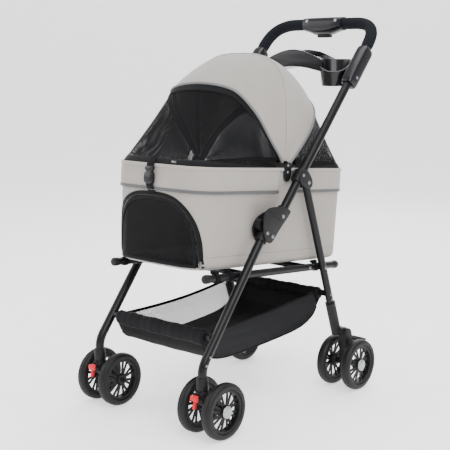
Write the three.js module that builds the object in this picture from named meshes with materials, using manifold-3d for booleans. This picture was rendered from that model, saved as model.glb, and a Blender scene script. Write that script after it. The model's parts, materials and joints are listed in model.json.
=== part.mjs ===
// Four-wheel pet stroller with a lift-off fabric carrier, in millimetres.
// +Z is up, the front faces -Y and the pusher's left side is +X.
// The origin is on the floor under the middle of the bounding box.
import * as THREE from "three";
import { mergeVertices } from "three/addons/utils/BufferGeometryUtils.js";
import Module from "manifold-3d";

const wasm = await Module();
wasm.setup();

// ---- Driving dimensions ------------------------------------------------------------
const GAP = 0.3; // between faces that touch
const CENTRE_SHIFT_Y = -65; // moves the middle of the bounding box to y = 0

const WHEEL_R = 68;
const TYRE_W = 26;
const TYRE_BORE_R = 52;
const HUB_R = 14;
const HUB_W = 24;
const AXLE_R = 4;
const PAIR_OFFSET = 39; // from the middle of a wheel pair to each wheel
const SHOULDER_R = 8;
const AXLE_END_R = 6.5;

const LEG_X = 180; // both legs and the handle tubes share this plane
const LEG_TUBE_R = 11;
const HANDLE_ANGLE = 49; // the handle line, from the horizontal
const LINE_Y = -117; // where the handle line, produced, crosses the side bar
const LINE_Z = 362;
const HANDLE_OFFSET = 5; // the handle tubes lie this far behind the line
const LEG_STEP = 18; // and the front legs this far in front of it at the fold pivot
const LEG_SPREAD = 3.7; // the legs are this much steeper than the line
const CASTER_Y = -275;
const CASTER_TRAIL = 31;
const LEG_BEND_TRIM = 20;
const SOCKET_R = 17;
const SOCKET_TOP_Z = 150;
const SOCKET_BOTTOM_Z = 118;
const STEM_R = 5;
const FORK_W = 24;

const FOLD_ALONG = 115; // fold pivot, along the handle line
const FOLD_OFFSET = -3; // and behind it
const LEG_TOP_ALONG = 150;
const COLLAR_R = 15;
const CHEEK_T = 4;
const HANDLE_TUBE_ALONG = 166;
const REAR_PIVOT_ALONG = 303;
const REAR_PIVOT_OFFSET = 34;

const REAR_TUBE_R = 10;
const REAR_FOOT_Y = 188; // where the side bar crosses the rear leg
const REAR_FOOT_Z = 338;
const REAR_LEG_LENGTH = 436;
const REAR_AXLE_Y = 270;
const REAR_WHEELS_X = 202;
const BOOT_R = 13.5;
const BOOT_START = 350;
const BOOT_END = 446;

const BAR_X = 158;
const BAR_R = 9.5;
const BAR_FRONT = -128; // along the bar from the handle line
const BAR_REAR = 394;
const CROSS_R = 8;
const FRONT_CROSS_ALONG = -174;
const REAR_CROSS_ALONG = 324; // down the rear leg from its pivot

const SLEEVE_START = 603;
const SLEEVE_END = 725;
const SLEEVE_W = 36;
const SLEEVE_H = 40;
const SLEEVE_SET_BACK = 3; // from the tube's centre to the sleeve's
const TUBE_JOIN = 662;
const GRIP_ALONG = 820;
const GRIP_CORNER_TRIM = 78;
const GRIP_R = 16;
const HOUSING_HALF = 66;
const HOUSING_TOP = 20;
const HOUSING_BOTTOM = 30;
const BUTTON_L = 42;
const BUTTON_W = 18;
const BUTTON_H = 15;
const BUTTON_TRAVEL = 4;

const CUP_X = 118;
const CUP_Y = 314;
const CUP_TOP_Z = 880;
const CUP_BOTTOM_Z = 808;
const CUP_TOP_R = 43;
const CUP_BOTTOM_R = 36;
const CUP_WALL = 3;
const TRAY_FRONT_Y = 276;
const TRAY_REAR_Y = 352;
const TRAY_ARCH_Z = 906;
const TRAY_FLOOR_Z = 858;

const CARRIER_TILT = 4.5; // the side bars and the carrier slope down to the rear
const CABIN_BOTTOM = 16.5; // heights above the side bar's centre line
const CABIN_BAND = 198;
const CABIN_TOP = 258;
const CABIN_FRONT = -138;
const CABIN_REAR = 424;
const CABIN_HALF = 147;
const CABIN_FLARE = 6;
const BAND_OUT = 5;
const CABIN_WALL = 5;
const BAND_WALL = 10;
const DOOR_HALF = 131;
const DOOR_SILL = 22;
const DOOR_APEX = 184;
const DOOR_GAP = 1.8;

const CANOPY_PIVOT_ALONG = 158;
const CANOPY_PIVOT_UP = 260;
const PANEL_T = 2;
const BOW_R = 2.5;
const BOW_END_X = 143;
// The canopy's three bows: an angle, and half of the fabric's arch over the bow, from beside
// the pivot to the middle, as [x, distance from the pivot axis].
const FRONT_BOW = {
  angle: 130,
  arch: [[150, 45], [146, 89], [143, 154], [132, 196], [118, 225], [104, 240], [80, 250],
    [45, 257], [0, 260]],
};
const MIDDLE_BOW = {
  angle: 94.5,
  arch: [[156, 45], [157, 100], [155, 160], [143, 220], [126, 248], [104, 266], [75, 277],
    [40, 283], [0, 284]],
};
const REAR_BOW = {
  angle: 46.5,
  arch: [[157, 45], [156, 90], [150, 140], [138, 178], [120, 209], [92, 237], [62, 256],
    [32, 268], [0, 272]],
};
const PANEL_GAP_ANGLE = 0.5; // between the front and rear panels

// ---- Materials -----------------------------------------------------------------------
const material = (color, roughness, metalness = 0) =>
  new THREE.MeshStandardMaterial({ color, roughness, metalness });
const FRAME_BLACK = () => material(0x16171a, 0.28, 0.6);
const PLASTIC = () => material(0x1b1b1d, 0.5);
const TYRE = () => material(0x141414, 0.85);
const FOAM = () => material(0x1a1c20, 0.8);
const RED = () => material(0xc81e2c, 0.4);
const FABRIC = () => material(0xa8a39e, 0.85);
const MESH = () => material(0x202022, 0.9);
const BLACK_CLOTH = () => material(0x151517, 0.9);

// ---- Solids --------------------------------------------------------------------------
function clean(geometry) {
  const g = geometry.index ? geometry : geometry.clone();
  g.deleteAttribute("normal");
  g.deleteAttribute("uv");
  return mergeVertices(g, 1e-4);
}

function toSolid(geometry) {
  const g = clean(geometry);
  return new wasm.Manifold(new wasm.Mesh({
    numProp: 3,
    vertProperties: new Float32Array(g.attributes.position.array),
    triVerts: new Uint32Array(g.index.array),
  }));
}

function fromSolid(solid) {
  const out = solid.getMesh();
  const g = new THREE.BufferGeometry();
  g.setAttribute("position", new THREE.BufferAttribute(new Float32Array(out.vertProperties), 3));
  g.setIndex(new THREE.BufferAttribute(new Uint32Array(out.triVerts), 1));
  return g;
}

const join = (...parts) => fromSolid(parts.map(toSolid).reduce((a, b) => a.add(b)));
const cut = (body, ...tools) =>
  fromSolid(tools.map(toSolid).reduce((a, b) => a.subtract(b), toSolid(body)));
const common = (a, b) => fromSolid(toSolid(a).intersect(toSolid(b)));

function box(x0, x1, y0, y1, z0, z1) {
  const g = new THREE.BoxGeometry(x1 - x0, y1 - y0, z1 - z0);
  return g.translate((x0 + x1) / 2, (y0 + y1) / 2, (z0 + z1) / 2);
}

// A straight round bar between two points.
function rod(from, to, r, sides = 12, r2 = r) {
  const a = new THREE.Vector3(...from);
  const b = new THREE.Vector3(...to);
  const g = new THREE.CylinderGeometry(r2, r, a.distanceTo(b), sides);
  g.applyQuaternion(new THREE.Quaternion().setFromUnitVectors(
    new THREE.Vector3(0, 1, 0), b.clone().sub(a).normalize()));
  const middle = a.add(b).multiplyScalar(0.5);
  return g.translate(middle.x, middle.y, middle.z);
}

// A polyline with rounded corners, walked station by station.
class BentPath extends THREE.Curve {
  constructor(points, trim, arcSteps) {
    super();
    const p = points.map((q) => new THREE.Vector3(...q));
    this.stations = [p[0]];
    for (let i = 1; i < p.length - 1; i += 1) {
      const before = p[i].clone().add(p[i - 1].clone().sub(p[i]).setLength(trim));
      const after = p[i].clone().add(p[i + 1].clone().sub(p[i]).setLength(trim));
      const bend = new THREE.QuadraticBezierCurve3(before, p[i], after);
      this.stations.push(...bend.getPoints(arcSteps));
    }
    this.stations.push(p[p.length - 1]);
  }

  getPoint(t) {
    const last = this.stations.length - 1;
    const i = Math.min(last - 1, Math.floor(t * last + 1e-6));
    return this.stations[i].clone().lerp(this.stations[i + 1], t * last - i);
  }

  getPointAt(t) {
    return this.getPoint(t);
  }

  getTangentAt(t) {
    const last = this.stations.length - 1;
    const i = Math.round(t * last);
    const before = this.stations[Math.max(0, i - 1)];
    return this.stations[Math.min(last, i + 1)].clone().sub(before).normalize();
  }
}

const circle = (r, sides) =>
  new THREE.Path().absarc(0, 0, r, 0, 2 * Math.PI).getSpacedPoints(sides).slice(0, sides);

// A tube along a bent path, solid or with a bore.
function bentRod(points, trim, r, bore = 0) {
  const extrudePath = new BentPath(points, trim, 4);
  const section = new THREE.Shape(circle(r, 12));
  if (bore) section.holes.push(new THREE.Path(circle(bore, 12)));
  return new THREE.ExtrudeGeometry(section, { steps: extrudePath.stations.length - 1, extrudePath });
}

// A profile in the YZ plane, given thickness along X.
function plateX(outline, x0, x1) {
  const shape = new THREE.Shape(outline.map(([y, z]) => new THREE.Vector2(y, z)));
  const g = new THREE.ExtrudeGeometry(shape, { depth: x1 - x0, bevelEnabled: false });
  g.applyMatrix4(new THREE.Matrix4().set(0, 0, 1, x0, 1, 0, 0, 0, 0, 1, 0, 0, 0, 0, 0, 1));
  return g;
}

// A profile in the XZ plane, given thickness along Y.
function plateY(outline, y0, y1) {
  const shape = new THREE.Shape(outline.map(([x, z]) => new THREE.Vector2(x, z)));
  const g = new THREE.ExtrudeGeometry(shape, { depth: y1 - y0, bevelEnabled: false });
  g.applyMatrix4(new THREE.Matrix4().set(1, 0, 0, 0, 0, 0, -1, y1, 0, 1, 0, 0, 0, 0, 0, 1));
  return g;
}

// A body turned about an X axis through (y, z); the profile is [radius, x] pairs.
function turnedX(profile, sides, x, y, z) {
  const points = profile.map(([r, h]) => new THREE.Vector2(r, h));
  const g = new THREE.LatheGeometry([...points, points[0].clone()], sides);
  return g.rotateZ(-Math.PI / 2).translate(x, y, z);
}

function turnedZ(profile, sides, x, y) {
  const g = new THREE.LatheGeometry(profile.map(([r, z]) => new THREE.Vector2(r, z)), sides);
  return g.rotateX(Math.PI / 2).translate(x, y, 0);
}

// A closed solid through a list of equal loops; section gives the loop's flat outline.
// A sheet's loop runs out on one face and back on the other, and both faces split alike.
function loft(rings, sectionFirst, sectionLast = sectionFirst, sheet = false) {
  const n = rings[0].length;
  const positions = rings.flat(2);
  const index = [];
  for (let k = 0; k < rings.length - 1; k += 1) {
    for (let i = 0; i < n; i += 1) {
      const j = (i + 1) % n;
      const a = k * n + i, b = k * n + j, c = (k + 1) * n + j, d = (k + 1) * n + i;
      index.push(...(sheet && i >= n / 2 ? [a, b, d, b, c, d] : [a, b, c, a, c, d]));
    }
  }
  const strip = () => Array.from({ length: n / 2 - 1 }, (_, i) =>
    [[i, i + 1, n - 2 - i], [i, n - 2 - i, n - 1 - i]]).flat();
  const cap = (section) => (sheet ? strip() : THREE.ShapeUtils.triangulateShape(
    section.map(([u, v]) => new THREE.Vector2(u, v)), []));
  const turn = !sheet && THREE.ShapeUtils.isClockWise(
    sectionFirst.map(([u, v]) => new THREE.Vector2(u, v))) ? -1 : 1;
  const base = (rings.length - 1) * n;
  for (const [a, b, c] of cap(sectionFirst)) index.push(...(turn > 0 ? [a, c, b] : [a, b, c]));
  for (const [a, b, c] of cap(sectionLast)) {
    index.push(...(turn > 0 ? [a, b, c] : [a, c, b]).map((i) => i + base));
  }
  const g = new THREE.BufferGeometry();
  g.setAttribute("position", new THREE.BufferAttribute(new Float32Array(positions), 3));
  g.setIndex(index);
  if (signedVolume(g) < 0) g.index.array.reverse();
  return g;
}

function signedVolume(g) {
  const p = g.attributes.position;
  const [a, b, c] = [new THREE.Vector3(), new THREE.Vector3(), new THREE.Vector3()];
  let volume = 0;
  for (let i = 0; i < g.index.count; i += 3) {
    a.fromBufferAttribute(p, g.index.getX(i));
    b.fromBufferAttribute(p, g.index.getX(i + 1));
    c.fromBufferAttribute(p, g.index.getX(i + 2));
    volume += a.dot(b.cross(c)) / 6;
  }
  return volume;
}

// ---- Frame geometry --------------------------------------------------------------------
const rad = THREE.MathUtils.degToRad;
const lineUp = [Math.cos(rad(HANDLE_ANGLE)), Math.sin(rad(HANDLE_ANGLE))];
// A point beside the handle line: along it, and behind it.
const onLine = (x, along, behind = 0) => [
  x,
  LINE_Y + along * lineUp[0] + behind * lineUp[1],
  LINE_Z + along * lineUp[1] - behind * lineUp[0],
];
const onHandle = (x, along) => onLine(x, along, HANDLE_OFFSET);
const legUp = [
  Math.cos(rad(HANDLE_ANGLE + LEG_SPREAD)), Math.sin(rad(HANDLE_ANGLE + LEG_SPREAD)),
];
// A point on the front leg's centre line, level with the fold pivot at FOLD_ALONG.
const onLeg = (x, along) => {
  const [, y, z] = onLine(x, FOLD_ALONG, -LEG_STEP);
  return [x, y + (along - FOLD_ALONG) * legUp[0], z + (along - FOLD_ALONG) * legUp[1]];
};
const rearPivot = onLine(0, REAR_PIVOT_ALONG, REAR_PIVOT_OFFSET);
const foldPivot = onLine(0, FOLD_ALONG, FOLD_OFFSET);
const rearDown = new THREE.Vector2(REAR_FOOT_Y - rearPivot[1], REAR_FOOT_Z - rearPivot[2])
  .normalize();
const onRearLeg = (x, along) =>
  [x, rearPivot[1] + along * rearDown.x, rearPivot[2] + along * rearDown.y];

// A block drawn in the handle line's frame: x across, y along the line, z in front of it.
function lineBlock(x0, x1, along0, along1, behind0, behind1) {
  const g = box(x0, x1, along0, along1, -behind1, -behind0);
  g.rotateX(rad(HANDLE_ANGLE));
  return g.translate(0, LINE_Y, LINE_Z);
}

// ---- Wheels ------------------------------------------------------------------------------
const WHEEL_SIDES = 24;

function tyre(x, y) {
  const w = TYRE_W / 2;
  const profile = [
    [TYRE_BORE_R, -w + 3], [TYRE_BORE_R + 8, -w], [WHEEL_R - 2, -w + 4], [WHEEL_R, 0],
    [WHEEL_R - 2, w - 4], [TYRE_BORE_R + 8, w], [TYRE_BORE_R, w - 3],
  ];
  return turnedX(profile, WHEEL_SIDES, x, y, WHEEL_R);
}

function rim(x, y) {
  const w = TYRE_W / 2 - 3;
  const h = HUB_W / 2;
  const r = TYRE_BORE_R - GAP;
  const profile = [
    [AXLE_R + GAP, -h], [HUB_R, -h], [HUB_R + 4, -3], [r, -w],
    [r, w], [HUB_R + 4, 3], [HUB_R, h], [AXLE_R + GAP, h],
  ];
  return turnedX(profile, WHEEL_SIDES, x, y, WHEEL_R);
}

// The axle with its shoulder between the wheels and its two end washers.
function axle(x, y) {
  const reach = PAIR_OFFSET + HUB_W / 2 + 2.6;
  const at = (dx) => [x + dx, y, WHEEL_R];
  const shoulder = PAIR_OFFSET - HUB_W / 2 - GAP;
  return [
    rod(at(-reach), at(reach), AXLE_R, 8),
    rod(at(-shoulder), at(shoulder), SHOULDER_R, 8),
    rod(at(-reach), at(-reach + 2.3), AXLE_END_R, 8),
    rod(at(reach - 2.3), at(reach), AXLE_END_R, 8),
  ];
}

// ---- Front frame ---------------------------------------------------------------------------
function frontLeg(x) {
  const bendAlong = FOLD_ALONG + (CASTER_Y - onLeg(x, FOLD_ALONG)[1]) / legUp[0];
  const points = [
    onLeg(x, LEG_TOP_ALONG), onLeg(x, bendAlong), [x, CASTER_Y, SOCKET_TOP_Z - 22],
  ];
  return bentRod(points, LEG_BEND_TRIM, LEG_TUBE_R);
}

function lowerHinge(x) {
  const [, y, z] = foldPivot;
  const collar = rod(onLeg(x, FOLD_ALONG - 24), onLeg(x, LEG_TOP_ALONG - 2), COLLAR_R, 16);
  const lug = rod([x - 6, y, z], [x + 6, y, z], 9, 16);
  const latch = lineBlock(x - 8, x + 8, FOLD_ALONG - 5, FOLD_ALONG + 20, -58, -28);
  const bore = rod(onLeg(x, 0), onLeg(x, LEG_TOP_ALONG + 30), LEG_TUBE_R + GAP, 12);
  const pin = rod([x - 20, y, z], [x + 20, y, z], 3.4, 12);
  return cut(join(collar, lug, latch), bore, pin);
}

function upperHinge(x) {
  const [, y, z] = foldPivot;
  const inner = COLLAR_R + 0.7;
  const sleeve = rod(onHandle(x, HANDLE_TUBE_ALONG + 1), onHandle(x, HANDLE_TUBE_ALONG + 37), 15.5, 16);
  const cheek = (x0, x1) => plateX([
    [93, -18], [97, -4], [106, 5], [120, 6], [161, 10], [196, 15], [204, 14], [202, -8],
    [192, -24], [178, -44], [158, -62], [140, -62], [124, -52], [108, -42], [99, -31],
  ].map(([a, n]) => onLine(0, a, n).slice(1)), x0, x1);
  const roof = lineBlock(x - inner - 1, x + inner + 1, 183, 203, -14, -6);
  const pin = rod([x - inner - 1, y, z], [x + inner + 1, y, z], 3, 12);
  const bore = rod(onHandle(x, HANDLE_TUBE_ALONG - 30), onHandle(x, 260), LEG_TUBE_R + GAP, 12);
  return join(
    cut(join(sleeve, roof, cheek(x - inner - CHEEK_T, x - inner),
      cheek(x + inner, x + inner + CHEEK_T)), bore), pin);
}

function crossTube(point, half) {
  return rod([-half, point[1], point[2]], [half, point[1], point[2]], CROSS_R, 12);
}

function casterSocket(x) {
  return turnedZ([
    [0, SOCKET_BOTTOM_Z + 6], [STEM_R + GAP, SOCKET_BOTTOM_Z + 6], [STEM_R + GAP, SOCKET_BOTTOM_Z],
    [SOCKET_R, SOCKET_BOTTOM_Z], [SOCKET_R, SOCKET_TOP_Z - 6], [SOCKET_R - 3, SOCKET_TOP_Z],
    [LEG_TUBE_R + GAP + 0.3, SOCKET_TOP_Z], [LEG_TUBE_R + GAP + 0.3, SOCKET_TOP_Z - 23],
    [0, SOCKET_TOP_Z - 23],
  ], 12, x, CASTER_Y);
}

// ---- Casters and rear wheel housings ----------------------------------------------------------
// Two ears with a pin between them, for a small lever hinged on an X axis.
function pinEars(x, half, ear, y, z, r, reach) {
  const near = Math.min(y, reach);
  const far = Math.max(y, reach);
  return [
    box(x - half - ear, x - half, near, far, z - r, z + r),
    box(x + half, x + half + ear, near, far, z - r, z + r),
    rod([x - half - ear, y, z], [x + half + ear, y, z], 1.8, 8),
  ];
}

const FORK_FACE_Y = CASTER_Y - 16;
const LOCK_Y = FORK_FACE_Y - 5;
const LOCK_Z = 106;

function casterFork(x) {
  const y = CASTER_Y + CASTER_TRAIL;
  const top = SOCKET_BOTTOM_Z - 0.6;
  const body = plateX([
    [FORK_FACE_Y, top], [CASTER_Y + 16, top], [y + 12, WHEEL_R + 22], [y + 14, WHEEL_R],
    [y + 6, WHEEL_R - 13], [y - 8, WHEEL_R - 12], [y - 18, WHEEL_R + 4], [FORK_FACE_Y, top - 26],
  ], x - FORK_W / 2, x + FORK_W / 2);
  const stem = rod([x, CASTER_Y, top - 8], [x, CASTER_Y, SOCKET_BOTTOM_Z + 5.7], STEM_R, 12);
  return join(body, stem, ...axle(x, y), ...pinEars(x, 8.4, 3, LOCK_Y, LOCK_Z, 4, FORK_FACE_Y + 1));
}

function swivelLock(x) {
  const bore = rod([x - 12, LOCK_Y, LOCK_Z], [x + 12, LOCK_Y, LOCK_Z], 2.1, 8);
  const knuckle = rod([x - 8, LOCK_Y, LOCK_Z], [x + 8, LOCK_Y, LOCK_Z], 4.4, 12);
  const stem = plateX([
    [LOCK_Y - 3, LOCK_Z], [LOCK_Y + 3, LOCK_Z], [LOCK_Y + 1, LOCK_Z - 16],
    [LOCK_Y - 4, LOCK_Z - 27], [LOCK_Y - 10, LOCK_Z - 27], [LOCK_Y - 6, LOCK_Z - 14],
  ], x - 7, x + 7);
  const head = plateX([
    [LOCK_Y - 9, LOCK_Z + 2], [LOCK_Y - 4.2, LOCK_Z + 4], [LOCK_Y - 4.2, LOCK_Z - 8],
    [LOCK_Y - 9, LOCK_Z - 8],
  ], x - 12, x + 12);
  return cut(join(knuckle, stem, head), bore);
}

const PEDAL_Y = REAR_AXLE_Y + 23;
const PEDAL_Z = 116;

function rearHousing(side) {
  const x = side * REAR_WHEELS_X;
  const legX = side * LEG_X;
  const y = REAR_AXLE_Y;
  const boot = rod(onRearLeg(legX, BOOT_START), onRearLeg(legX, BOOT_END), BOOT_R, 16);
  const inner = Math.min(x - side * FORK_W / 2, x + side * FORK_W / 2);
  const block = plateX([
    [y - 22, WHEEL_R + 96], [y + 4, WHEEL_R + 96], [y + 14, WHEEL_R + 60], [y + 14, WHEEL_R - 6],
    [y + 2, WHEEL_R - 15], [y - 12, WHEEL_R - 10], [y - 18, WHEEL_R + 30],
  ], inner, inner + FORK_W);
  const web = box(Math.min(legX, x), Math.max(legX, x), y - 21, y + 2,
    WHEEL_R + 82, WHEEL_R + 95.9);
  const bore = rod(onRearLeg(legX, 300), onRearLeg(legX, REAR_LEG_LENGTH + 1), REAR_TUBE_R + GAP, 12);
  return join(cut(join(boot, block, web), bore), ...axle(x, y),
    ...pinEars(x, 8, 4, PEDAL_Y, PEDAL_Z, 5, REAR_AXLE_Y + 12));
}

function brakePedal(x) {
  const knuckle = rod([x - 7.6, PEDAL_Y, PEDAL_Z], [x + 7.6, PEDAL_Y, PEDAL_Z], 5, 12);
  const neck = box(x - 7.6, x + 7.6, PEDAL_Y, PEDAL_Y + 14, PEDAL_Z - 1, PEDAL_Z + 5);
  const tread = plateX([
    [PEDAL_Y + 9, PEDAL_Z + 0.5], [PEDAL_Y + 11, PEDAL_Z + 7], [PEDAL_Y + 34, PEDAL_Z + 10],
    [PEDAL_Y + 42, PEDAL_Z + 7], [PEDAL_Y + 42, PEDAL_Z + 3], [PEDAL_Y + 34, PEDAL_Z + 4],
  ], x - 22, x + 22);
  const bore = rod([x - 12, PEDAL_Y, PEDAL_Z], [x + 12, PEDAL_Y, PEDAL_Z], 2.1, 8);
  return cut(join(knuckle, neck, tread), bore);
}

// ---- Handle frame ----------------------------------------------------------------------------
const upperTube = (x) =>
  rod(onHandle(x, HANDLE_TUBE_ALONG), onHandle(x, TUBE_JOIN - GAP), LEG_TUBE_R, 12);

function rearBracket(x) {
  const outline = [
    [284, -10], [320, -10], [323, 12], [318, 34], [311, 44], [303, 47], [294, 44], [287, 34],
    [281, 12],
  ].map(([a, n]) => onLine(0, a, n).slice(1));
  const body = plateX(outline, x - 15, x + 15);
  const bore = rod(onHandle(x, 250), onHandle(x, 350), LEG_TUBE_R + GAP, 12);
  const slot = lineBlock(x - REAR_TUBE_R - 0.6, x + REAR_TUBE_R + 0.6, 270, 332, 20, 60);
  const pin = rod([x - 12, rearPivot[1], rearPivot[2]], [x + 12, rearPivot[1], rearPivot[2]], 3, 12);
  return join(cut(body, bore, slot), pin);
}

function handleSleeve(x) {
  const w = SLEEVE_W / 2;
  const h = SLEEVE_H / 2;
  const c = 7;
  const outline = [
    [-w + c, -h], [w - c, -h], [w, -h + c], [w, h - c], [w - c, h], [-w + c, h], [-w, h - c],
    [-w, -h + c],
  ];
  const middle = HANDLE_OFFSET + SLEEVE_SET_BACK;
  const ring = (along) => outline.map(([dx, n]) => onLine(x + dx, along, middle + n));
  const body = loft([ring(SLEEVE_START), ring(SLEEVE_END)], outline);
  return cut(body,
    rod(onHandle(x, SLEEVE_START - 9), onHandle(x, SLEEVE_END + 9), LEG_TUBE_R + GAP, 12));
}

function handleLoop(start, r, bore) {
  const points = [
    onHandle(LEG_X, start), onHandle(LEG_X, GRIP_ALONG), onHandle(-LEG_X, GRIP_ALONG),
    onHandle(-LEG_X, start),
  ];
  return bentRod(points, GRIP_CORNER_TRIM, r, bore);
}

const handleTube = () => handleLoop(TUBE_JOIN, LEG_TUBE_R);
const foamGrip = () => handleLoop(SLEEVE_END + GAP, GRIP_R, LEG_TUBE_R + GAP);

const gripCentre = onHandle(0, GRIP_ALONG);

function gripHousing() {
  const [, y, z] = gripCentre;
  const ring = (x, k) => {
    const up = HOUSING_TOP * k;
    const down = 20 + (HOUSING_BOTTOM - 20) * (k - 0.9) * 10;
    return [
      [x, y - 12, z - down], [x, y + 12, z - down], [x, y + 21, z - 10], [x, y + 21, z + 9],
      [x, y + 12, z + up], [x, y - 12, z + up], [x, y - 21, z + 9], [x, y - 21, z - 10],
    ];
  };
  const stations = [[-HOUSING_HALF, 0.9], [-34, 1], [34, 1], [HOUSING_HALF, 0.9]];
  const section = ring(0, 1).map(([, a, b]) => [a, b]);
  const body = loft(stations.map(([x, k]) => ring(x, k)), section);
  const bore = rod([-HOUSING_HALF - 5, y, z], [HOUSING_HALF + 5, y, z], GRIP_R + GAP + 0.3, 12);
  const pocket = box(-BUTTON_L / 2 - 0.4, BUTTON_L / 2 + 0.4, y - BUTTON_W / 2 - 0.4,
    y + BUTTON_W / 2 + 0.4, z - HOUSING_BOTTOM - 5, z - GRIP_R - 1.6);
  return cut(body, bore, pocket);
}

function releaseButton() {
  const [, y, z] = gripCentre;
  const top = z - GRIP_R - 1.6 - BUTTON_TRAVEL - 0.6;
  return box(-BUTTON_L / 2, BUTTON_L / 2, y - BUTTON_W / 2, y + BUTTON_W / 2, top - BUTTON_H, top);
}

function cupTray() {
  const cups = [1, -1].map((s) => rod([s * CUP_X, CUP_Y, CUP_BOTTOM_Z], [s * CUP_X, CUP_Y, CUP_TOP_Z],
    CUP_BOTTOM_R, 24, CUP_TOP_R));
  const wells = [1, -1].map((s) => rod([s * CUP_X, CUP_Y, CUP_BOTTOM_Z + CUP_WALL],
    [s * CUP_X, CUP_Y, CUP_TOP_Z + 4], CUP_BOTTOM_R - CUP_WALL, 24, CUP_TOP_R - CUP_WALL + 0.3));
  const arch = (half, low, high, sag) => {
    const line = (z, rise) => [-1, -0.6, -0.25, 0.25, 0.6, 1].map(
      (t) => [t * half, z + rise * Math.cos(t * Math.PI / 2)]);
    return [...line(low, sag), ...line(CUP_TOP_Z, high - CUP_TOP_Z).reverse()];
  };
  const bridge = plateY(arch(96, TRAY_FLOOR_Z - 14, TRAY_ARCH_Z, 14), TRAY_FRONT_Y, TRAY_REAR_Y);
  const recess = plateY(arch(62, TRAY_FLOOR_Z - 4, TRAY_ARCH_Z + 60, 8),
    TRAY_FRONT_Y + CUP_WALL + 1, TRAY_REAR_Y - CUP_WALL - 1);
  return cut(join(...cups, bridge), ...wells, recess);
}

// ---- Rear legs -----------------------------------------------------------------------------
function rearLeg(x) {
  const tube = rod(onRearLeg(x, -4), onRearLeg(x, REAR_LEG_LENGTH), REAR_TUBE_R, 12);
  return cut(tube, rod([x - 15, rearPivot[1], rearPivot[2]], [x + 15, rearPivot[1], rearPivot[2]],
    3.4, 12));
}

// ---- Seat base and carrier -------------------------------------------------------------------
// The carrier's own frame: y runs back along the side bar from the handle line, z is square to it.
const carrierFrame = new THREE.Matrix4()
  .makeTranslation(0, LINE_Y, LINE_Z)
  .multiply(new THREE.Matrix4().makeRotationX(-rad(CARRIER_TILT)));
const onCarrier = (geometry) => geometry.applyMatrix4(carrierFrame);

function seatBase() {
  const pieces = [];
  for (const s of [1, -1]) {
    pieces.push(rod([s * BAR_X, BAR_FRONT, 0], [s * BAR_X, BAR_REAR, 0], BAR_R, 12));
    for (const y of [-74, 312]) {
      pieces.push(rod([s * (BAR_X - 9), y, -2], [s * (BAR_X - 9), y, CABIN_BOTTOM - GAP], 5, 8));
    }
  }
  for (const y of [24, 268]) pieces.push(rod([-BAR_X, y, 0], [BAR_X, y, 0], CROSS_R, 12));
  return onCarrier(join(...pieces));
}

// The cabin's plan outline at one height: rounded corners and a bulging front.
function cabinRing(half, front, rear, z, corner = 60) {
  const points = [];
  const arc = (cx, cy, r, from, to, steps) => {
    for (let i = 0; i <= steps; i += 1) {
      const t = rad(from + ((to - from) * i) / steps);
      points.push([cx + r * Math.cos(t), cy + r * Math.sin(t)]);
    }
  };
  arc(half - corner, front + corner, corner, -90, 0, 5);
  arc(half - corner * 0.8, rear - corner * 0.8, corner * 0.8, 0, 90, 4);
  arc(-half + corner * 0.8, rear - corner * 0.8, corner * 0.8, 90, 180, 4);
  arc(-half + corner, front + corner, corner, 180, 270, 5);
  points.push([0, front]);
  return points.map(([x, y]) => [x, y - (y < front + corner ? 9 * (1 - (x / half) ** 2) : 0), z]);
}

// The wall as a closed open-topped shell, inset from the outside by the given amounts.
function cabinShell(inset, thickness, bandThickness, top) {
  const at = (z, d, edge = 0) => {
    const k = Math.min(1, Math.max(0, (z - CABIN_BOTTOM) / (CABIN_BAND - CABIN_BOTTOM)));
    const half = CABIN_HALF + k * CABIN_FLARE - d - edge;
    return cabinRing(half, CABIN_FRONT - k * CABIN_FLARE + d + edge, CABIN_REAR - d - edge, z,
      60 - d - edge * 0.4);
  };
  const band = -BAND_OUT + inset;
  const rings = [
    at(CABIN_BOTTOM + inset, inset, 14), at(CABIN_BOTTOM + 5, inset, 4),
    at(CABIN_BOTTOM + 14, inset), at(CABIN_BAND, inset), at(CABIN_BAND + 0.5, band),
    at(top, band), at(top, band + bandThickness), at(CABIN_BAND - 4, inset + thickness),
    at(CABIN_BOTTOM + 14, inset + thickness), at(CABIN_BOTTOM + thickness, inset + thickness, 9),
  ];
  const flat = (ring) => ring.map(([x, y]) => [x, y]);
  return loft(rings, flat(rings[0]), flat(rings[rings.length - 1]));
}

// The arched doorway, as a block that runs through the front wall.
function doorBlock(shrink) {
  const half = DOOR_HALF - shrink;
  const sill = DOOR_SILL + shrink;
  const rise = DOOR_APEX - shrink - sill;
  const outline = [[-half, sill], [half, sill]];
  const swell = (v) => Math.abs(v) ** (2 / 3);
  for (let i = 1; i <= 14; i += 1) {
    const t = (i / 15) * Math.PI;
    outline.push([half * Math.sign(Math.cos(t)) * swell(Math.cos(t)), sill + rise * swell(Math.sin(t))]);
  }
  return plateY(outline, CABIN_FRONT - 60, CABIN_FRONT + 66);
}

const cabin = () => onCarrier(cut(cabinShell(0, CABIN_WALL, BAND_WALL, CABIN_TOP), doorBlock(0)));
const doorPanel = () => onCarrier(
  common(cabinShell(1, 2.6, BAND_WALL - 2, CABIN_TOP), doorBlock(DOOR_GAP)));

// An arch moved in or out by an offset, from the left pivot to the right one.
function archLine(arch, offset) {
  const half = arch.map(([x, r], i, all) => {
    const [x0, r0] = all[Math.max(0, i - 1)];
    const [x1, r1] = all[Math.min(all.length - 1, i + 1)];
    const normal = new THREE.Vector2(r1 - r0, x0 - x1).normalize();
    return [Math.max(0, x + offset * normal.x), r + offset * normal.y];
  });
  half[half.length - 1] = [0, half[half.length - 1][1]];
  return [...half, ...half.slice(0, -1).reverse().map(([x, r]) => [-x, r])];
}

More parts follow.
